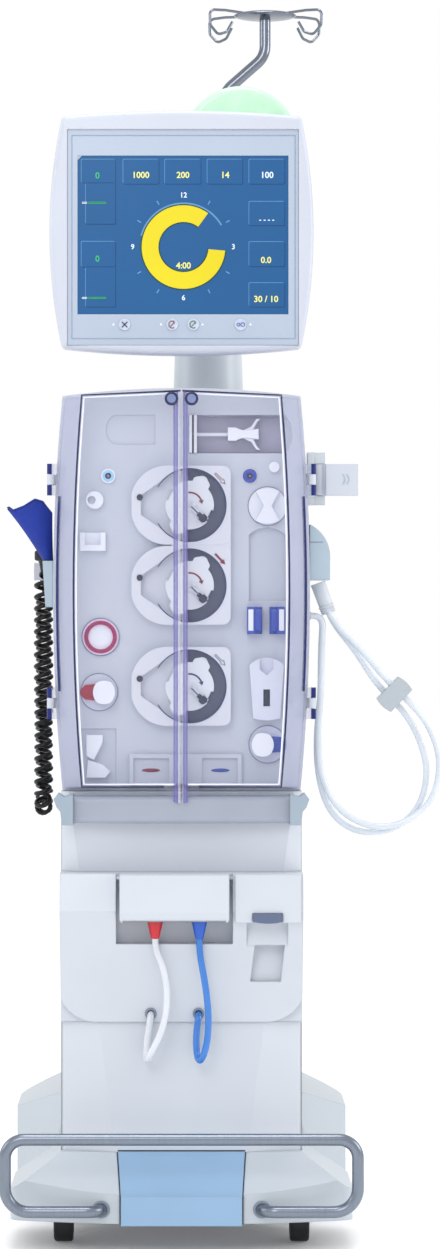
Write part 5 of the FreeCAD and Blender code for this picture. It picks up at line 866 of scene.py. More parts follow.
# The two pressure ports are round, black in a pale blue ring on the left and
# blue on the right. The pressure pod below has a magenta ring.
plastic("ring_pale_blue", (150, 196, 232), 0.3, 0.03, 900, 0.00002)
plastic("port_blue", (34, 58, 160), 0.3, 0.05, 900, 0.00002)
plastic("pod_magenta", (138, 6, 70), 0.3, 0.04, 900, 0.00002)
plastic("pod_pink", (232, 168, 208), 0.3, 0.03, 900, 0.00002)
plastic("line_grey", (116, 122, 148), 0.4, 0.03, 900, 0.00002)
paint("small_white", "line_sensors")
BLACK_PORT = (-0.0997, 1.040)
BLUE_PORT = (0.0929, 1.040)
POD = (-0.110, 0.821)
PORT_FRONT_Y, POD_FRONT_Y, POD_EDGE_Y = -0.202, -0.204, -0.201
for name, centre, inner, outer, y, finish in (
    ("black_port_glow", BLACK_PORT, 0.0042, 0.0078, PORT_FRONT_Y, "ring_pale_blue"),
    ("black_port_bore", BLACK_PORT, 0.0018, 0.0043, PORT_FRONT_Y, "stud_black"),
    ("blue_port_disc", BLUE_PORT, 0.0040, 0.0096, PORT_FRONT_Y, "port_blue"),
    ("blue_port_bore", BLUE_PORT, 0.0016, 0.0041, PORT_FRONT_Y, "stud_black"),
    ("pod_rim", POD, 0.0222, 0.0235, POD_FRONT_Y, "pod_pink"),
    ("pod_ring", POD, 0.0168, 0.0223, POD_FRONT_Y, "pod_magenta"),
    ("pod_lip", POD, 0.0160, 0.0169, POD_FRONT_Y, "pod_pink"),
    ("pod_edge", POD, 0.0247, 0.0261, POD_EDGE_Y, "line_grey"),
):
    ring = add_ring(name, centre, inner, outer, y - 0.0005, y + 0.0006)
    fit(ease(ring, 0.0002), finish)


# Each tube clamp has a round lilac seat with a coloured jaw, red on the left
# and blue on the right, and a white plunger that presses the line against it.
# A thin grey line edges both seats and the round line lock.
SEAT_FRONT_Y = -0.2005
CLAMP_EDGE_RADIUS = 0.0259
LOCK_EDGE_RADIUS = 0.0269
EDGE_LINE = 0.0010
clamp_shader = start_finish("clamp_finish", 0.34)
seat_tone, clamp_vector = cloudy_colour(clamp_shader, (198, 202, 221), 0.02, 20)
red_tone, _ = cloudy_colour(clamp_shader, (158, 6, 30), 0.06, 40)
blue_tone, _ = cloudy_colour(clamp_shader, (14, 62, 160), 0.06, 40)
is_right = side_of(clamp_shader, "X", 0)
is_seat = side_of(clamp_shader, "Y", SEAT_FRONT_Y - 0.0003)
jaw_tone = mixed(clamp_shader, is_right, red_tone, blue_tone)
feed(clamp_shader, Base_Color=mixed(clamp_shader, is_seat, jaw_tone, seat_tone))
grain_bump(clamp_shader, clamp_vector, 1200, 0.00003, 0.0008)
paint("clamp_finish", "clamp_seats")
paint("small_white", "left_clamp_plunger", "right_clamp_plunger")
for name, centre, outer, y in (
    ("left_clamp_edge", (-0.112, 0.746), CLAMP_EDGE_RADIUS, SEAT_FRONT_Y),
    ("right_clamp_edge", (0.117, 0.675), CLAMP_EDGE_RADIUS, SEAT_FRONT_Y),
    ("line_lock_edge", (0.117, 0.999), LOCK_EDGE_RADIUS, -0.2),
):
    edge = add_ring(name, centre, outer - EDGE_LINE, outer, y - 0.0004, y + 0.001)
    fit(edge, "line_grey")


# The drip chamber clip has two bright blue cheeks with white pads outside.
# The level detector under it is lilac, with a black slot.
CHEEK_FRONT_Y = -0.220
CHEEK_LOW_Z, CHEEK_HIGH_Z = 0.8295, 0.8585
CHEEK_FOOT_Z = 0.80
two_tone("cheek_finish", (202, 206, 223), (30, 68, 166), "Z", CHEEK_FOOT_Z)
plastic("cheek_blue", (14, 52, 160), 0.3, 0.04, 900, 0.00002)
paint("cheek_finish", "drip_chamber_holder")
for name, left, right, stand, round_over, finish in (
    ("left_cheek_pad", 0.0905, 0.0975, 0.0012, 0.0010, "small_white"),
    ("right_cheek_pad", 0.1320, 0.1390, 0.0012, 0.0010, "small_white"),
    ("left_cheek_cushion", 0.0980, 0.1088, 0.0024, 0.0035, "cheek_blue"),
    ("right_cheek_cushion", 0.1205, 0.1313, 0.0024, 0.0035, "cheek_blue"),
):
    low = (left, CHEEK_FRONT_Y - stand, CHEEK_LOW_Z)
    pad = add_block(name, low, (right, CHEEK_FRONT_Y + 0.004, CHEEK_HIGH_Z))
    fit(ease(pad, round_over, 4), finish)
slot = add_block("level_slot_lining", (0.1112, -0.2076, 0.7272), (0.1198, -0.2062, 0.7498))
fit(ease(slot, 0.0002), "stud_black")


# The lower module has a flap over each test port. A lens-shaped mark in the
# line's own colour is printed on each.
MODULE_FRONT_Y = -0.202
LENS_HALF_WIDTH = 0.0125
LENS_FLATNESS = 0.2
LENS_Z = 0.6398
for name, x, finish in (
    ("left_port_mark", -0.0416, "mark_red"), ("right_port_mark", 0.0528, "port_blue"),
):
    lens = add_disc(name, (x, MODULE_FRONT_Y - 0.0002, LENS_Z), LENS_HALF_WIDTH, 0.001)
    edit(lens)
    middle = (x, MODULE_FRONT_Y, LENS_Z)
    bpy.ops.transform.resize(value=(1, 1, LENS_FLATNESS), center_override=middle)
    close()
    fit(ease(lens, 0.0002), finish)


# The doors are two clear bowed covers, moulded in violet tinted plastic. Round
# each front runs a navy bead, painted shade for the dark line that the clear edge
# shows, with a white bead just inside it as a painted highlight. Each door hangs
# on two navy hinge blocks and has a grip tube down its free edge.
DOOR_FRONT_Y, DOOR_INNER_Y = -0.262, -0.259
DOOR_FREE_X = 0.024
DOOR_BEAD_RADIUS = 0.0013
FRONT_DENSITY, WALL_DENSITY = 0.05, 0.32
GRIP_REACH = 0.0112
GRIP_SHIFT = 0.0012
GRIP_SPAN = 0.014
# Stops across the grip tubes, from their shared middle: reach, colour and density. The light stops are a
# painted highlight in the gap and the tubes' middles, and the dark ones are painted shade at the tubes'
# edges.
GRIP_SHADING_STOPS = (
    (0.0000, (226, 228, 244), 0.22), (0.0030, (222, 224, 242), 0.24),
    (0.0040, (92, 84, 150), 0.62), (0.0062, (134, 130, 186), 0.46),
    (0.0090, (96, 90, 158), 0.58), (0.0100, (150, 150, 200), 0.05),
)
BUTTON_X, BUTTON_Z = 0.0135, 1.141
BAND_INNER, BAND_OUTER, BAND_Y = 0.1660, 0.1705, -0.2125
BAND_LOW, BAND_HIGH = 0.7475, 1.0120
BAND_MIDDLE_Z, BAND_BOW_HEIGHT, BAND_BOW = 0.8805, 0.2665, 0.0125


def grip_shading_ramp(shader):
    """Colour and density across the grip tubes: violet bands with painted shade at their edges and a
    lighter middle, and a painted white highlight in the gap between them.
    """
    width = maths(shader, "ABSOLUTE", maths(shader, "ADD", along_axis(shader, "X"), GRIP_SHIFT))
    ramp = add_node(shader, "ValToRGB", Fac=maths(shader, "DIVIDE", width, GRIP_SPAN))
    stops = ramp.color_ramp.elements
    while len(stops) < len(GRIP_SHADING_STOPS):
        stops.new(1)
    for stop, (reach, colour, density) in zip(stops, GRIP_SHADING_STOPS):
        parts = [part / 255 for part in colour]
        stop.position = reach / GRIP_SPAN
        stop.color = [*[((part + 0.055) / 1.055) ** 2.4 for part in parts], density]
    return ramp.outputs["Color"], ramp.outputs["Alpha"]


def door_finish():
    """Tinted clear plastic: nearly clear in front, denser in the walls and the grip tubes, whose shade
    and highlight are painted in.
    """
    shader = start_finish("door_finish", 0.06)
    face, vector = cloudy_colour(shader, (178, 185, 216), 0.04, 6)
    wall, _ = cloudy_colour(shader, (182, 187, 212), 0.08, 12, (1, 1, 0.1))
    grip, grip_density = grip_shading_ramp(shader)
    navy, _ = cloudy_colour(shader, (34, 42, 104), 0.1, 40)
    is_wall = side_of(shader, "Y", -0.2588)
    is_hinge = side_of(shader, "X", HINGE_REACH, True)
    off_grip = side_of(shader, "X", GRIP_REACH, True)
    tone = mixed(shader, is_wall, face, wall)
    tone = mixed(shader, off_grip, grip, tone)
    tone = mixed(shader, is_hinge, tone, navy)
    cover = add_node(shader, "MapRange", To_Min=FRONT_DENSITY, To_Max=WALL_DENSITY, Value=is_wall)
    density = maths(shader, "MAXIMUM", cover.outputs["Result"], grip_density)
    density = maths(shader, "MAXIMUM", density, is_hinge)
    feed(shader, Base_Color=tone, Alpha=density, Specular_IOR_Level=0.2)
    grain_bump(shader, vector, 8, 0.0001, 0.0008)


def edge_bead(name, node_name, depth):
    """A round bead bent along the edges round a door's flat front, at a depth, but not
    along its free side. It is made from the door's merged copy. The navy bead paints
    the shade line of the door's clear edge, and the white one paints a highlight."""
    def wanted(edge):
        at_depth = all(abs(v.co.y - depth) < 0.0001 for v in edge.verts)
        free_side = all(abs(v.co.x) < DOOR_FREE_X for v in edge.verts)
        flat = [abs(face.normal.y) > 0.95 for face in edge.link_faces]
        return at_depth and not free_side and any(flat) and not all(flat)

    bead = add_object(name, nodes[node_name].data.copy())
    edit(bead)
    bpy.ops.mesh.remove_doubles(threshold=0.000005)
    choose(bead, "edges", lambda edge: not wanted(edge))
    bpy.ops.mesh.delete(type="EDGE")
    close()
    bpy.ops.object.convert(target="CURVE")
    bead.data.bevel_depth = DOOR_BEAD_RADIUS
    bead.data.bevel_resolution = 2
    bpy.ops.object.convert(target="MESH")
    return bead


door_finish()
paint("door_finish", "left_door", "right_door")
plastic("door_navy", (22, 30, 78), 0.22, 0.05, 900, 0.00002)
plastic("band_blue", (20, 32, 92), 0.25, 0.1, 300, 0.00002)
plastic("door_glint", (244, 246, 255), 0.12, 0.01, 300, 0.00001)
plastic("button_violet", (112, 124, 166), 0.2, 0.03, 900, 0.00002)
for side, where in SIDES:
    body = "door_" + where
    # Painted shade and highlight: the navy bead is the dark line that the clear edge shows, and the
    # white bead inside it is a highlight.
    for name, depth, finish in (
        ("_door_edge", DOOR_FRONT_Y, "door_navy"), ("_door_inner_edge", DOOR_INNER_Y, "door_glint"),
    ):
        fit(edge_bead(where + name, where + "_door", depth), finish, body)
    band = add_block(
        where + "_door_hinge_band", (BAND_INNER, BAND_Y - 0.0012, BAND_LOW),
        (BAND_OUTER, BAND_Y + 0.0012, BAND_HIGH),
    )
    edit(band)
    choose(band, "edges", lambda edge: abs(edge.verts[0].co.z - edge.verts[1].co.z) > 0.1)
    bpy.ops.mesh.subdivide(number_cuts=16)
    close()
    for v in band.data.vertices:
        share = (v.co.z - BAND_MIDDLE_Z) / BAND_BOW_HEIGHT
        v.co.x = side * (v.co.x - BAND_BOW * share * share)
    edit(band)
    close(outward=True)
    fit(ease(band, 0.0008), "band_blue", body)
    x = side * BUTTON_X
    rim = add_ring(where + "_door_button_rim", (x, BUTTON_Z), 0.0060, 0.0091, -0.2704, -0.2622)
    fit(ease(rim, 0.0005), "door_navy", body)
    place = (x, -0.2702, BUTTON_Z)
    face = dished(where + "_door_button_face", place, 0.0060, 0.0010, 0.0012)
    fit(face, "button_violet", body)


# The monitor stands on a painted column with a turntable and a tilting yoke.
# Its frame, front panel and rear housing are white mouldings, and a thin grey
# line runs round the panel.
PANEL_FRONT_Y = -0.1985
PANEL_LEFT, PANEL_RIGHT, PANEL_LOW, PANEL_HIGH = -0.1497, 0.1551, 1.2265, 1.5040
plastic("neck_paint", (192, 199, 206), 0.34, 0.02, 1200, 0.00004, 0.002)
plastic("bezel_white", (188, 193, 206), 0.34, 0.02, 1100, 0.00003, 0.003)
plastic("panel_glossy", (166, 178, 196), 0.25, 0.015, 1100, 0.00002, 0.001)
plastic("panel_shade", (138, 152, 174), 0.3, 0.02, 1100, 0.00002)
paint("neck_paint", "neck_column", "monitor_yoke", "arm_clamp")
paint("bezel_white", "monitor_bezel", "monitor_back")
paint("panel_glossy", "screen_panel")
bpy.ops.object.select_all(action="DESELECT")
bpy.ops.mesh.primitive_plane_add(
    size=1, rotation=(math.pi / 2, 0, 0),
    location=((PANEL_LEFT + PANEL_RIGHT) / 2, PANEL_FRONT_Y - 0.0003, (PANEL_LOW + PANEL_HIGH) / 2),
)
bpy.context.object.scale = (PANEL_RIGHT - PANEL_LEFT, PANEL_HIGH - PANEL_LOW, 1)
fit(hollow(settle("panel_outline"), 0.0012, 0.0006), "panel_shade", "monitor")


# The display is a blue touch screen: tiles with values round the edge and a
# treatment dial in the middle. Its parts lie a little in front of each other.
FONT_SIZE_PER_FIGURE = 1.4
STROKE_SWELL = 0.03
GLASS_FLOOR_Y = -0.1973
SCREEN_Y = GLASS_FLOOR_Y - 0.0002
EDGE_Y = GLASS_FLOOR_Y - 0.0003
TILE_Y = GLASS_FLOOR_Y - 0.0004
INK_Y = GLASS_FLOOR_Y - 0.0006
TILE_EDGE = 0.0008
SCREEN_LEFT, SCREEN_RIGHT, SCREEN_LOW, SCREEN_HIGH = -0.1414, 0.1454, 1.2601, 1.4759


def screen_ink(name, colour, glow=0.03):
    """A lit colour behind glass, with the faint rows of the display."""
    shader = start_finish(name, 0.2)
    tone, vector = cloudy_colour(shader, colour, 0.03, 12)
    feed(shader, Base_Color=tone, Emission_Color=tone, Emission_Strength=glow)
    feed(shader, Specular_IOR_Level=0.25, Coat_Weight=0.1, Coat_Roughness=0.05)
    grain_bump(shader, vector, 1500, 0.00001, 0.0002)


def show(piece, ink):
    """Fits a piece that belongs to the display or to its keys."""
    return fit(piece, ink, "monitor")


def add_text(name, words, x, z, height):
    """Raised figures that face the front, made a mesh before their place is applied."""
    bpy.ops.object.select_all(action="DESELECT")
    bpy.ops.object.text_add(location=(x, INK_Y, z), rotation=(math.pi / 2, 0, 0))
    text = bpy.context.object.data
    text.body = words
    text.size = height * FONT_SIZE_PER_FIGURE
    text.align_x = "CENTER"
    text.align_y = "CENTER"
    text.extrude = 0.0001
    text.offset = height * STROKE_SWELL
    text.resolution_u = 3
    bpy.ops.object.convert(target="MESH")
    piece = settle(name)
    edit(piece)
    bpy.ops.mesh.remove_doubles(threshold=0.000001)
    close()
    return piece


def add_tile(name, left, right, low, high, ink, front):
    """A flat tile of the display, with small rounded corners."""
    tile = add_block(name, (left, front, low), (right, GLASS_FLOOR_Y + 0.0002, high))
    edit(tile)
    choose(tile, "edges", lambda edge: abs(edge.verts[0].co.y - edge.verts[1].co.y) > 0.0001)
    bpy.ops.mesh.bevel(offset=0.0016, segments=3)
    close()
    show(tile, ink)


def add_raised_tile(name, left, right, low, high):
    """A tile that seems to stand out: a light edge above it and a dark one below."""
    for part, lift in (("light", TILE_EDGE), ("dark", -TILE_EDGE)):
        box = (left - lift, right - lift, low + lift, high + lift)
        add_tile(f"{name}_{part}", *box, f"ink_{part}_edge", EDGE_Y)
    add_tile(name, left, right, low, high, "ink_sky", TILE_Y)


screen_ink("ink_sky", (29, 84, 135))
screen_ink("ink_light_edge", (84, 138, 184))
screen_ink("ink_dark_edge", (12, 52, 98))
screen_ink("ink_pale", (206, 220, 234), 0.15)
screen_ink("ink_yellow", (206, 190, 30), 0.12)
screen_ink("ink_cream", (214, 214, 128), 0.15)
screen_ink("ink_faint", (92, 140, 184))
screen_ink("ink_green", (52, 168, 104), 0.12)
screen_ink("ink_dark_green", (14, 62, 48))
sheet = add_block(
    "screen_sheet", (SCREEN_LEFT, SCREEN_Y, SCREEN_LOW),
    (SCREEN_RIGHT, GLASS_FLOOR_Y + 0.0004, SCREEN_HIGH),
)
edit(sheet)
choose(sheet, "edges", lambda edge: all(
    v.co.x < SCREEN_LEFT + 0.001 and v.co.z > SCREEN_HIGH - 0.001 for v in edge.verts))
bpy.ops.mesh.bevel(offset=0.006, segments=1)
close()
show(sheet, "ink_sky")

TOP_TILES = ((-0.0793, -0.0309), (-0.0225, 0.0261), (0.0352, 0.0830), (0.0921, 0.1402))
for i, (left, right) in enumerate(TOP_TILES):
    add_raised_tile(f"top_tile_{i}", left, right, 1.4376, 1.4709)
LEFT_TILES = (
    (-0.1361, 1.4388, 1.4709), (-0.1302, 1.3831, 1.4392),
    (-0.1361, 1.3245, 1.3591), (-0.1302, 1.2703, 1.3249),
)
for i, (left, low, high) in enumerate(LEFT_TILES):
    add_raised_tile(f"left_tile_{i}", left, -0.0900, low, high)
RIGHT_TILES = ((1.3811, 1.4135), (1.3253, 1.3587), (1.2703, 1.3028))
for i, (low, high) in enumerate(RIGHT_TILES):
    add_raised_tile(f"right_tile_{i}", 0.0921, 0.1402, low, high)
BAR_HALF = 0.0012
for i, z in enumerate((1.4119, 1.2824)):
    low, high = z - BAR_HALF, z + BAR_HALF
    add_tile(f"pressure_bar_{i}", -0.1279, -0.1017, low, high, "ink_green", INK_Y)
    add_tile(f"pressure_bar_end_{i}", -0.1361, -0.1279, low, high, "ink_pale", INK_Y)
SMALL_FIGURE, LARGE_FIGURE = 0.0070, 0.0084
for name, words, x, z, height, ink in (
    ("top_value_0", "1000", -0.0555, 1.4493, LARGE_FIGURE, "ink_cream"),
    ("top_value_1", "200", 0.0020, 1.4493, LARGE_FIGURE, "ink_cream"),
    ("top_value_2", "14", 0.0593, 1.4493, LARGE_FIGURE, "ink_cream"),
    ("top_value_3", "100", 0.1164, 1.4493, LARGE_FIGURE, "ink_pale"),
    ("left_value_0", "0", -0.1144, 1.4486, LARGE_FIGURE, "ink_green"),
    ("left_value_1", "0", -0.1144, 1.3354, LARGE_FIGURE, "ink_green"),
    ("right_value_0", "- - - -", 0.1160, 1.3889, SMALL_FIGURE, "ink_pale"),
    ("right_value_1", "0.0", 0.1150, 1.3336, LARGE_FIGURE, "ink_cream"),
    ("right_value_2", "30 / 10", 0.1150, 1.2805, LARGE_FIGURE, "ink_cream"),
    ("dial_twelve", "12", 0.0027, 1.4221, SMALL_FIGURE, "ink_pale"),
    ("dial_three", "3", 0.0706, 1.3517, SMALL_FIGURE, "ink_pale"),
    ("dial_six", "6", 0.0027, 1.2824, SMALL_FIGURE, "ink_pale"),
    ("dial_nine", "9", -0.0664, 1.3517, SMALL_FIGURE, "ink_pale"),
    ("time_left", "4:00", 0.0027, 1.3261, LARGE_FIGURE, "ink_cream"),
):
    show(add_text(name, words, x, z, height), ink)

# The treatment dial on the display is a yellow ring, open at the upper right,
# with dark green edges and a faint glow outside. Eight ticks stand round it
# between the hours.
DIAL = (0.0027, 1.3517)
RING_INNER, RING_OUTER = 0.034, 0.057
RING_START, RING_END = 54, 355
RING_EDGE = 0.0013
TICK_RADIUS, TICK_HALF, TICK_HALF_TURN = 0.0695, 0.003, 0.7
for name, inner, outer, y, start, end, steps, ink in (
    ("_ring", RING_INNER, RING_OUTER, TILE_Y, RING_START, RING_END, 90, "ink_yellow"),
    ("_ring_inner_edge", RING_INNER - RING_EDGE, RING_INNER, INK_Y, RING_START, RING_END, 90,
     "ink_dark_green"),
    ("_ring_outer_edge", RING_OUTER, RING_OUTER + RING_EDGE, INK_Y, RING_START, RING_END, 90,
     "ink_dark_green"),
    ("_ring_glow", 0.0584, 0.0606, EDGE_Y, 30, 165, 40, "ink_faint"),
):
    show(add_arc("treatment" + name, DIAL, inner, outer, y, GLASS_FLOOR_Y, start, end, steps), ink)
for degrees in (30, 60, 120, 150, 210, 240, 300, 330):
    tick = add_arc(
        f"dial_tick_{degrees}", DIAL, TICK_RADIUS - TICK_HALF, TICK_RADIUS + TICK_HALF, INK_Y,
        GLASS_FLOOR_Y, degrees - TICK_HALF_TURN, degrees + TICK_HALF_TURN, 1,
    )
    show(tick, "ink_faint")


# Four membrane keys stand under the screen, each a pale dome with a printed
# mark, and a small light triangle beside it.
plastic("key_pale", (186, 196, 214), 0.3, 0.02, 1000, 0.00002)
plastic("mark_green", (40, 96, 60), 0.4, 0.05, 900, 0.00001)
plastic("mark_navy", (40, 44, 92), 0.4, 0.05, 900, 0.00001)
KEY_Z = 1.246
KEY_DOME_RADIUS = 0.0079
KEY_FRONT_Y = -0.1993
KEY_MARK_RADIUS = 0.0052
KEY_INK_Y = KEY_FRONT_Y - 0.0006
KEY_INK_FRONT, KEY_INK_BACK = KEY_INK_Y - 0.0003, KEY_INK_Y + 0.0008


def mute_mark(x):
    """A cross of two turned bars."""
    for i, degrees in enumerate((45, -45)):
        bar = add_block(
            f"mute_key_bar_{i}", (-KEY_MARK_RADIUS, KEY_INK_FRONT, -0.0007),
            (KEY_MARK_RADIUS, KEY_INK_BACK, 0.0007),
        )
        show(turned(bar, (x, KEY_Z), degrees), "mark_navy")


def confirm_mark(x):
    """A small ring beside a larger one."""
    for i, (shift, size) in enumerate(((-0.0030, 0.0024), (0.0028, 0.0030))):
        place = (x + shift, KEY_Z)
        name = f"confirm_key_loop_{i}"
        loop = add_ring(name, place, size - 0.0008, size, KEY_INK_FRONT, KEY_INK_BACK, 28)
        show(loop, "port_blue")


def dial_mark(name, x, ink):
    """An open ring with a pointer across it."""
    sweep = add_arc(
        name + "_sweep", (x, KEY_Z), KEY_MARK_RADIUS - 0.0010, KEY_MARK_RADIUS, KEY_INK_FRONT,
        KEY_INK_BACK, 55, 305, 20,
    )
    show(sweep, ink)
    pointer = add_arrow(
        name + "_pointer", (x - 0.0026, KEY_Z - 0.0026), (x + 0.0034, KEY_Z + 0.0034), 0.0005,
        0.0014, 0.0022, KEY_INK_Y, 0.0003,
    )
    show(pointer, ink)


for name, x in (
    ("mute_key", -0.0774), ("dial_key", -0.0125), ("start_key", 0.0162), ("confirm_key", 0.0805),
):
    dome = dished(name + "_dome", (x, KEY_FRONT_Y, KEY_Z), KEY_DOME_RADIUS, 0.0012, 0.0012)
    fit(dome, "key_pale", "monitor")
    if name == "mute_key":
        mute_mark(x)
    elif name == "confirm_key":
        confirm_mark(x)
    else:
        dial_mark(name, x, "mark_red" if name == "dial_key" else "mark_green")
for i, x in enumerate((-0.0927, -0.0280, 0.0286, 0.0938)):
    triangle = add_disc(f"key_light_{i}", (x, PANEL_FRONT_Y, KEY_Z), 0.0026, 0.0008, "Y", 3)
    fit(ease(triangle, 0.0002), "small_white", "monitor")


# The alarm lamp is a translucent green dome on top of the monitor, lit from
# inside.
lamp_shader = start_finish("lamp_finish", 0.25)
lamp_tone, lamp_vector = cloudy_colour(lamp_shader, (176, 218, 186), 0.08, 35)
feed(lamp_shader, Base_Color=lamp_tone, Emission_Color=lamp_tone, Emission_Strength=0.12)
feed(lamp_shader, Coat_Weight=0.4)
grain_bump(lamp_shader, lamp_vector, 300, 0.0001, 0.001)
paint("lamp_finish", "alarm_lamp")


# The infusion pole is a chromed steel tube, bent over at the top, with a hub
# that carries four wire hooks. A collar with a knob clamps it.
metal("pole_chrome", (117.6, 123.6, 134.4), 0.18, (1, 1, 10))
paint("pole_chrome", "infusion_pole", "hook_head")
paint("small_white", "pole_guide")


# The cuff pocket on the left and the hose holder on the right are grey-blue
# mouldings, and the holder arm is white with two grip ridges. The drain hoses'
# plug sits in the holder's foot.
PLUG_TOP_Z = 0.8985
ARM_FRONT_Y = -0.163
ARM_RIDGE_Z = 1.037
plastic("holder_grey", (162, 178, 192), 0.4, 0.03, 1100, 0.00003, 0.002)
plastic("arm_white", (190, 195, 206), 0.34, 0.02, 1100, 0.00003, 0.0015)
plastic("clip_grey", (166, 175, 183), 0.34, 0.03, 1100, 0.00003, 0.0015)
two_tone("plug_finish", (196, 202, 210), (162, 178, 192), "Z", PLUG_TOP_Z, roughness=0.4)
paint("holder_grey", "cuff_holder")
paint("plug_finish", "hose_holder")
paint("arm_white", "holder_arm")
paint("clip_grey", "hose_clip")
lid_line = add_block("hose_holder_lid_line", (0.1760, -0.1763, 0.9500), (0.1935, -0.1750, 0.9512))
fit(ease(lid_line, 0.0002), "line_grey")
for i, x in enumerate((0.2150, 0.2205)):
    ridge = add_arc(
        f"arm_grip_ridge_{i}", (x, ARM_RIDGE_Z), 0.0082, 0.0096, ARM_FRONT_Y - 0.0006,
        ARM_FRONT_Y + 0.0006, -48, 48, 16,
    )
    fit(ridge, "plug_finish", "arm")
(mouth_x, mouth_z), (next_x, next_z) = FRONT_LOOP[:2]
mouth = (mouth_x, (FRONT_LOOP_Y + REAR_LOOP_Y) / 2, mouth_z)
plug_way = (next_x - mouth_x, 0, next_z - mouth_z)
plug = add_relief("drain_hose_relief", mouth, plug_way, 0.0112, 0.0104, 0.011)
fit(plug, "plug_finish")


# The blood pressure cuff is padded nylon cloth, rolled into a trough and stood
# in its pocket, where it leans against the cabinet. Its front and back layers
# are each puffed up by a cloth simulation, and a bound hem runs along the top.
CUFF_FOOT_LEFT, CUFF_FOOT_RIGHT = Vector((-0.1885, 0, 0.9260)), Vector((-0.1776, 0, 0.9250))
CUFF_TOP = [
    Vector((x, 0, z)) for x, z in (
        (-0.2385, 0.9975), (-0.2315, 0.9930), (-0.2160, 0.9990),
        (-0.2010, 1.0085), (-0.1905, 1.0055), (-0.1776, 0.9890),
    )
]
CUFF_FRONT_Y = -0.1745
CUFF_DEPTH = 0.040
CUFF_THICK = 0.0035
CUFF_MOST_PUFF = 0.0022
CUFF_STEPS = 12
HEM_RADIUS = 0.0009
HEM_POINTS = 24


def cloth_finish(name, colour, sheen):
    """Woven nylon: two crossing sets of fine threads with a soft sheen."""
    shader = start_finish(name, 0.7)
    tone, vector = cloudy_colour(shader, colour, 0.18, 28)
    threads = [
        add_node(
            shader, "TexWave", {"bands_direction": axis}, Scale=300, Distortion=0.6, Vector=vector,
        ).outputs["Fac"]
        for axis in ("X", "Z")
    ]
    crossing = maths(shader, "MULTIPLY", *threads)
    multiply = {"data_type": "RGBA", "blend_type": "MULTIPLY"}
    shade = add_node(shader, "Mix", multiply, Factor=0.15, A=tone, B=crossing)
    bump = add_node(shader, "Bump", Distance=0.0002, Height=crossing)
    feed(shader, Base_Color=shade.outputs["Result"], Normal=bump.outputs["Normal"])
    feed(shader, Sheen_Weight=sheen, Sheen_Roughness=0.4)


def puff(piece, most):
    """Swells the closed cloth with a little pressure, no point further than a limit."""
    before = [v.co.copy() for v in piece.data.vertices]
    cloth = piece.modifiers.new("puffed", "CLOTH")
    cloth.settings.quality = 5
    cloth.settings.use_pressure = True
    cloth.settings.uniform_pressure_force = 4
    cloth.settings.tension_stiffness = 8
    cloth.settings.compression_stiffness = 8
    cloth.settings.bending_stiffness = 0.3
    cloth.settings.effector_weights.gravity = 0
    cloth.point_cache.frame_start = 1
    cloth.point_cache.frame_end = CUFF_STEPS
    for step in range(1, CUFF_STEPS + 1):
        bpy.context.scene.frame_set(step)
    alone(piece)
    bpy.ops.object.modifier_apply(modifier=cloth.name)
    bpy.context.scene.frame_set(1)
    for v, start in zip(piece.data.vertices, before):
        move = v.co - start
        if move.length > most:
            v.co = start + move.normalized() * most


def cuff_place(across, along, back, rise):
    """A point of a cuff layer, from shares across its width and along its lean."""
    stretch = across * (len(CUFF_TOP) - 1)
    step = min(int(stretch), len(CUFF_TOP) - 2)
    part = stretch - step
    part = part * part * (3 - 2 * part)
    top = CUFF_TOP[step].lerp(CUFF_TOP[step + 1], part)
    straight = CUFF_TOP[1].lerp(CUFF_TOP[-1], across)
    foot = CUFF_FOOT_LEFT.lerp(CUFF_FOOT_RIGHT, across)
    place = foot.lerp(straight, along) + (top - straight) * along ** 3
    belly = CUFF_DEPTH * (across - 0.45) ** 2
    return place + Vector((0, CUFF_FRONT_Y + belly + back, rise * along))


def cuff_layer(name, back, rise, finish):
    """One layer of the cuff: a sheet laid over the trough, given thickness and puffed up."""
    bpy.ops.object.select_all(action="DESELECT")
    bpy.ops.mesh.primitive_grid_add(
        x_subdivisions=22, y_subdivisions=40, size=1, location=(0.5, 0.5, 0),
    )
    layer = settle(name)
    for v in layer.data.vertices:
        v.co = cuff_place(v.co.x, v.co.y, back, rise)
    shape(layer, "SOLIDIFY", thickness=CUFF_THICK, offset=0)
    edit(layer)
    close(outward=True)
    puff(layer, CUFF_MOST_PUFF)
    shape(layer, "SUBSURF", levels=1, render_levels=1)
    fit(layer, finish)
    return layer


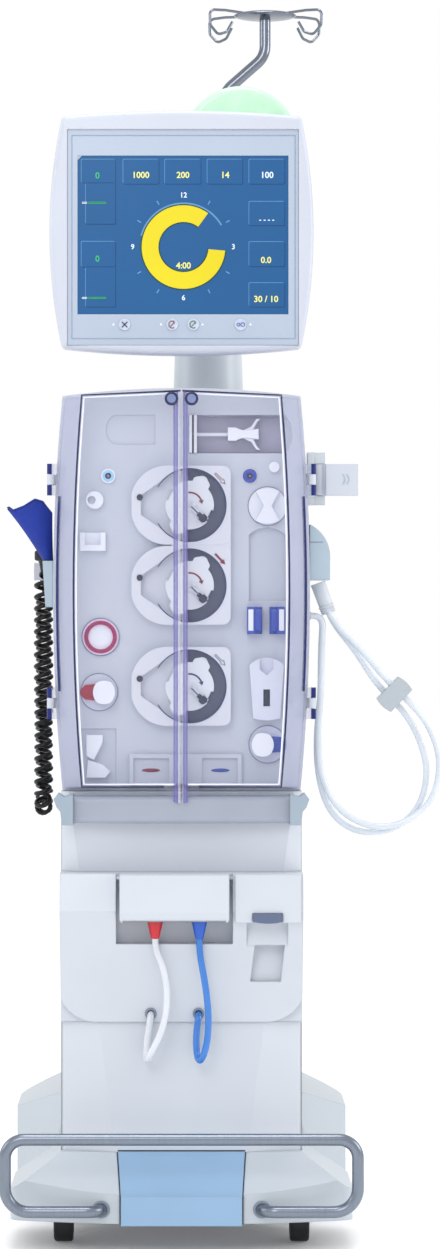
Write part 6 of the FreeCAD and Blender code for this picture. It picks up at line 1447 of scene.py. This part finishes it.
cloth_finish("cuff_cloth", (2, 44, 150), 0.03)
cloth_finish("cuff_lining", (6, 12, 48), 0.05)
cuff_front = cuff_layer("cuff_front_layer", 0, 0, "cuff_cloth")
cuff_layer("cuff_back_layer", 0.0075, 0.0025, "cuff_lining")
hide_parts("pressure_cuff")
hem_front = Vector((0, -CUFF_THICK / 2, 0))
hem_route = [cuff_place(i / HEM_POINTS, 1, 0, 0.0006) + hem_front for i in range(HEM_POINTS + 1)]
hem = lay_line("cuff_hem", hem_route, HEM_RADIUS, 12, 2, "POLY")
alone(hem)
bpy.ops.object.convert(target="MESH")
fit(hem, "cuff_cloth")
tail = add_block("cuff_tail", (-0.1868, -0.170, 0.880), (-0.1812, -0.134, 0.936))
fit(ease(tail, 0.0024, 4), "cuff_lining")
port = add_block("cuff_air_port", (-0.2020, -0.1500, 0.9260), (-0.1860, -0.0990, 0.9395))
fit(ease(port, 0.0025, 3), "relief_black")


# At the back a mains inlet with three pins, screws round the cover's edge, a
# fine mesh behind the vents, and coloured collars on the water connections.
REAR_Y = 0.204
SCREW_X, SCREW_RADIUS = 0.150, 0.0042
WATER_Z = 0.224
metal("bright_steel", (206.4, 209.3, 213.7), 0.22, (1, 12, 1))
for side, where in SIDES:
    for i, z in enumerate((0.187, 0.39, 0.596)):
        place = (side * SCREW_X, REAR_Y + 0.0006, z)
        screw = dished(f"rear_{where}_screw_{i}", place, SCREW_RADIUS, 0.0018, 0.0014, "Y", 1)
        fit(screw, "bright_steel")
vent_mesh = add_block("vent_mesh", (-0.110, 0.1988, 0.430), (0.110, 0.1996, 0.530))
fit(ease(vent_mesh, 0.0002), "chassis_paint")
for i, (x, z) in enumerate(((0.063, 0.2285), (0.077, 0.2285), (0.070, 0.2360))):
    pin = add_block(
        f"mains_pin_{i}", (x - 0.001, REAR_Y - 0.001, z - 0.002), (x + 0.001, REAR_Y + 0.010, z + 0.002),
    )
    fit(ease(pin, 0.0004), "bright_steel")
for name, x, finish in (
    ("water_inlet_collar", -0.060, "port_blue"), ("drain_collar", -0.020, "cap_grey"),
):
    collar = add_ring(name, (x, WATER_Z), 0.0061, 0.0085, REAR_Y + 0.0120, REAR_Y + 0.0060, 40)
    fit(ease(collar, 0.0006), finish)
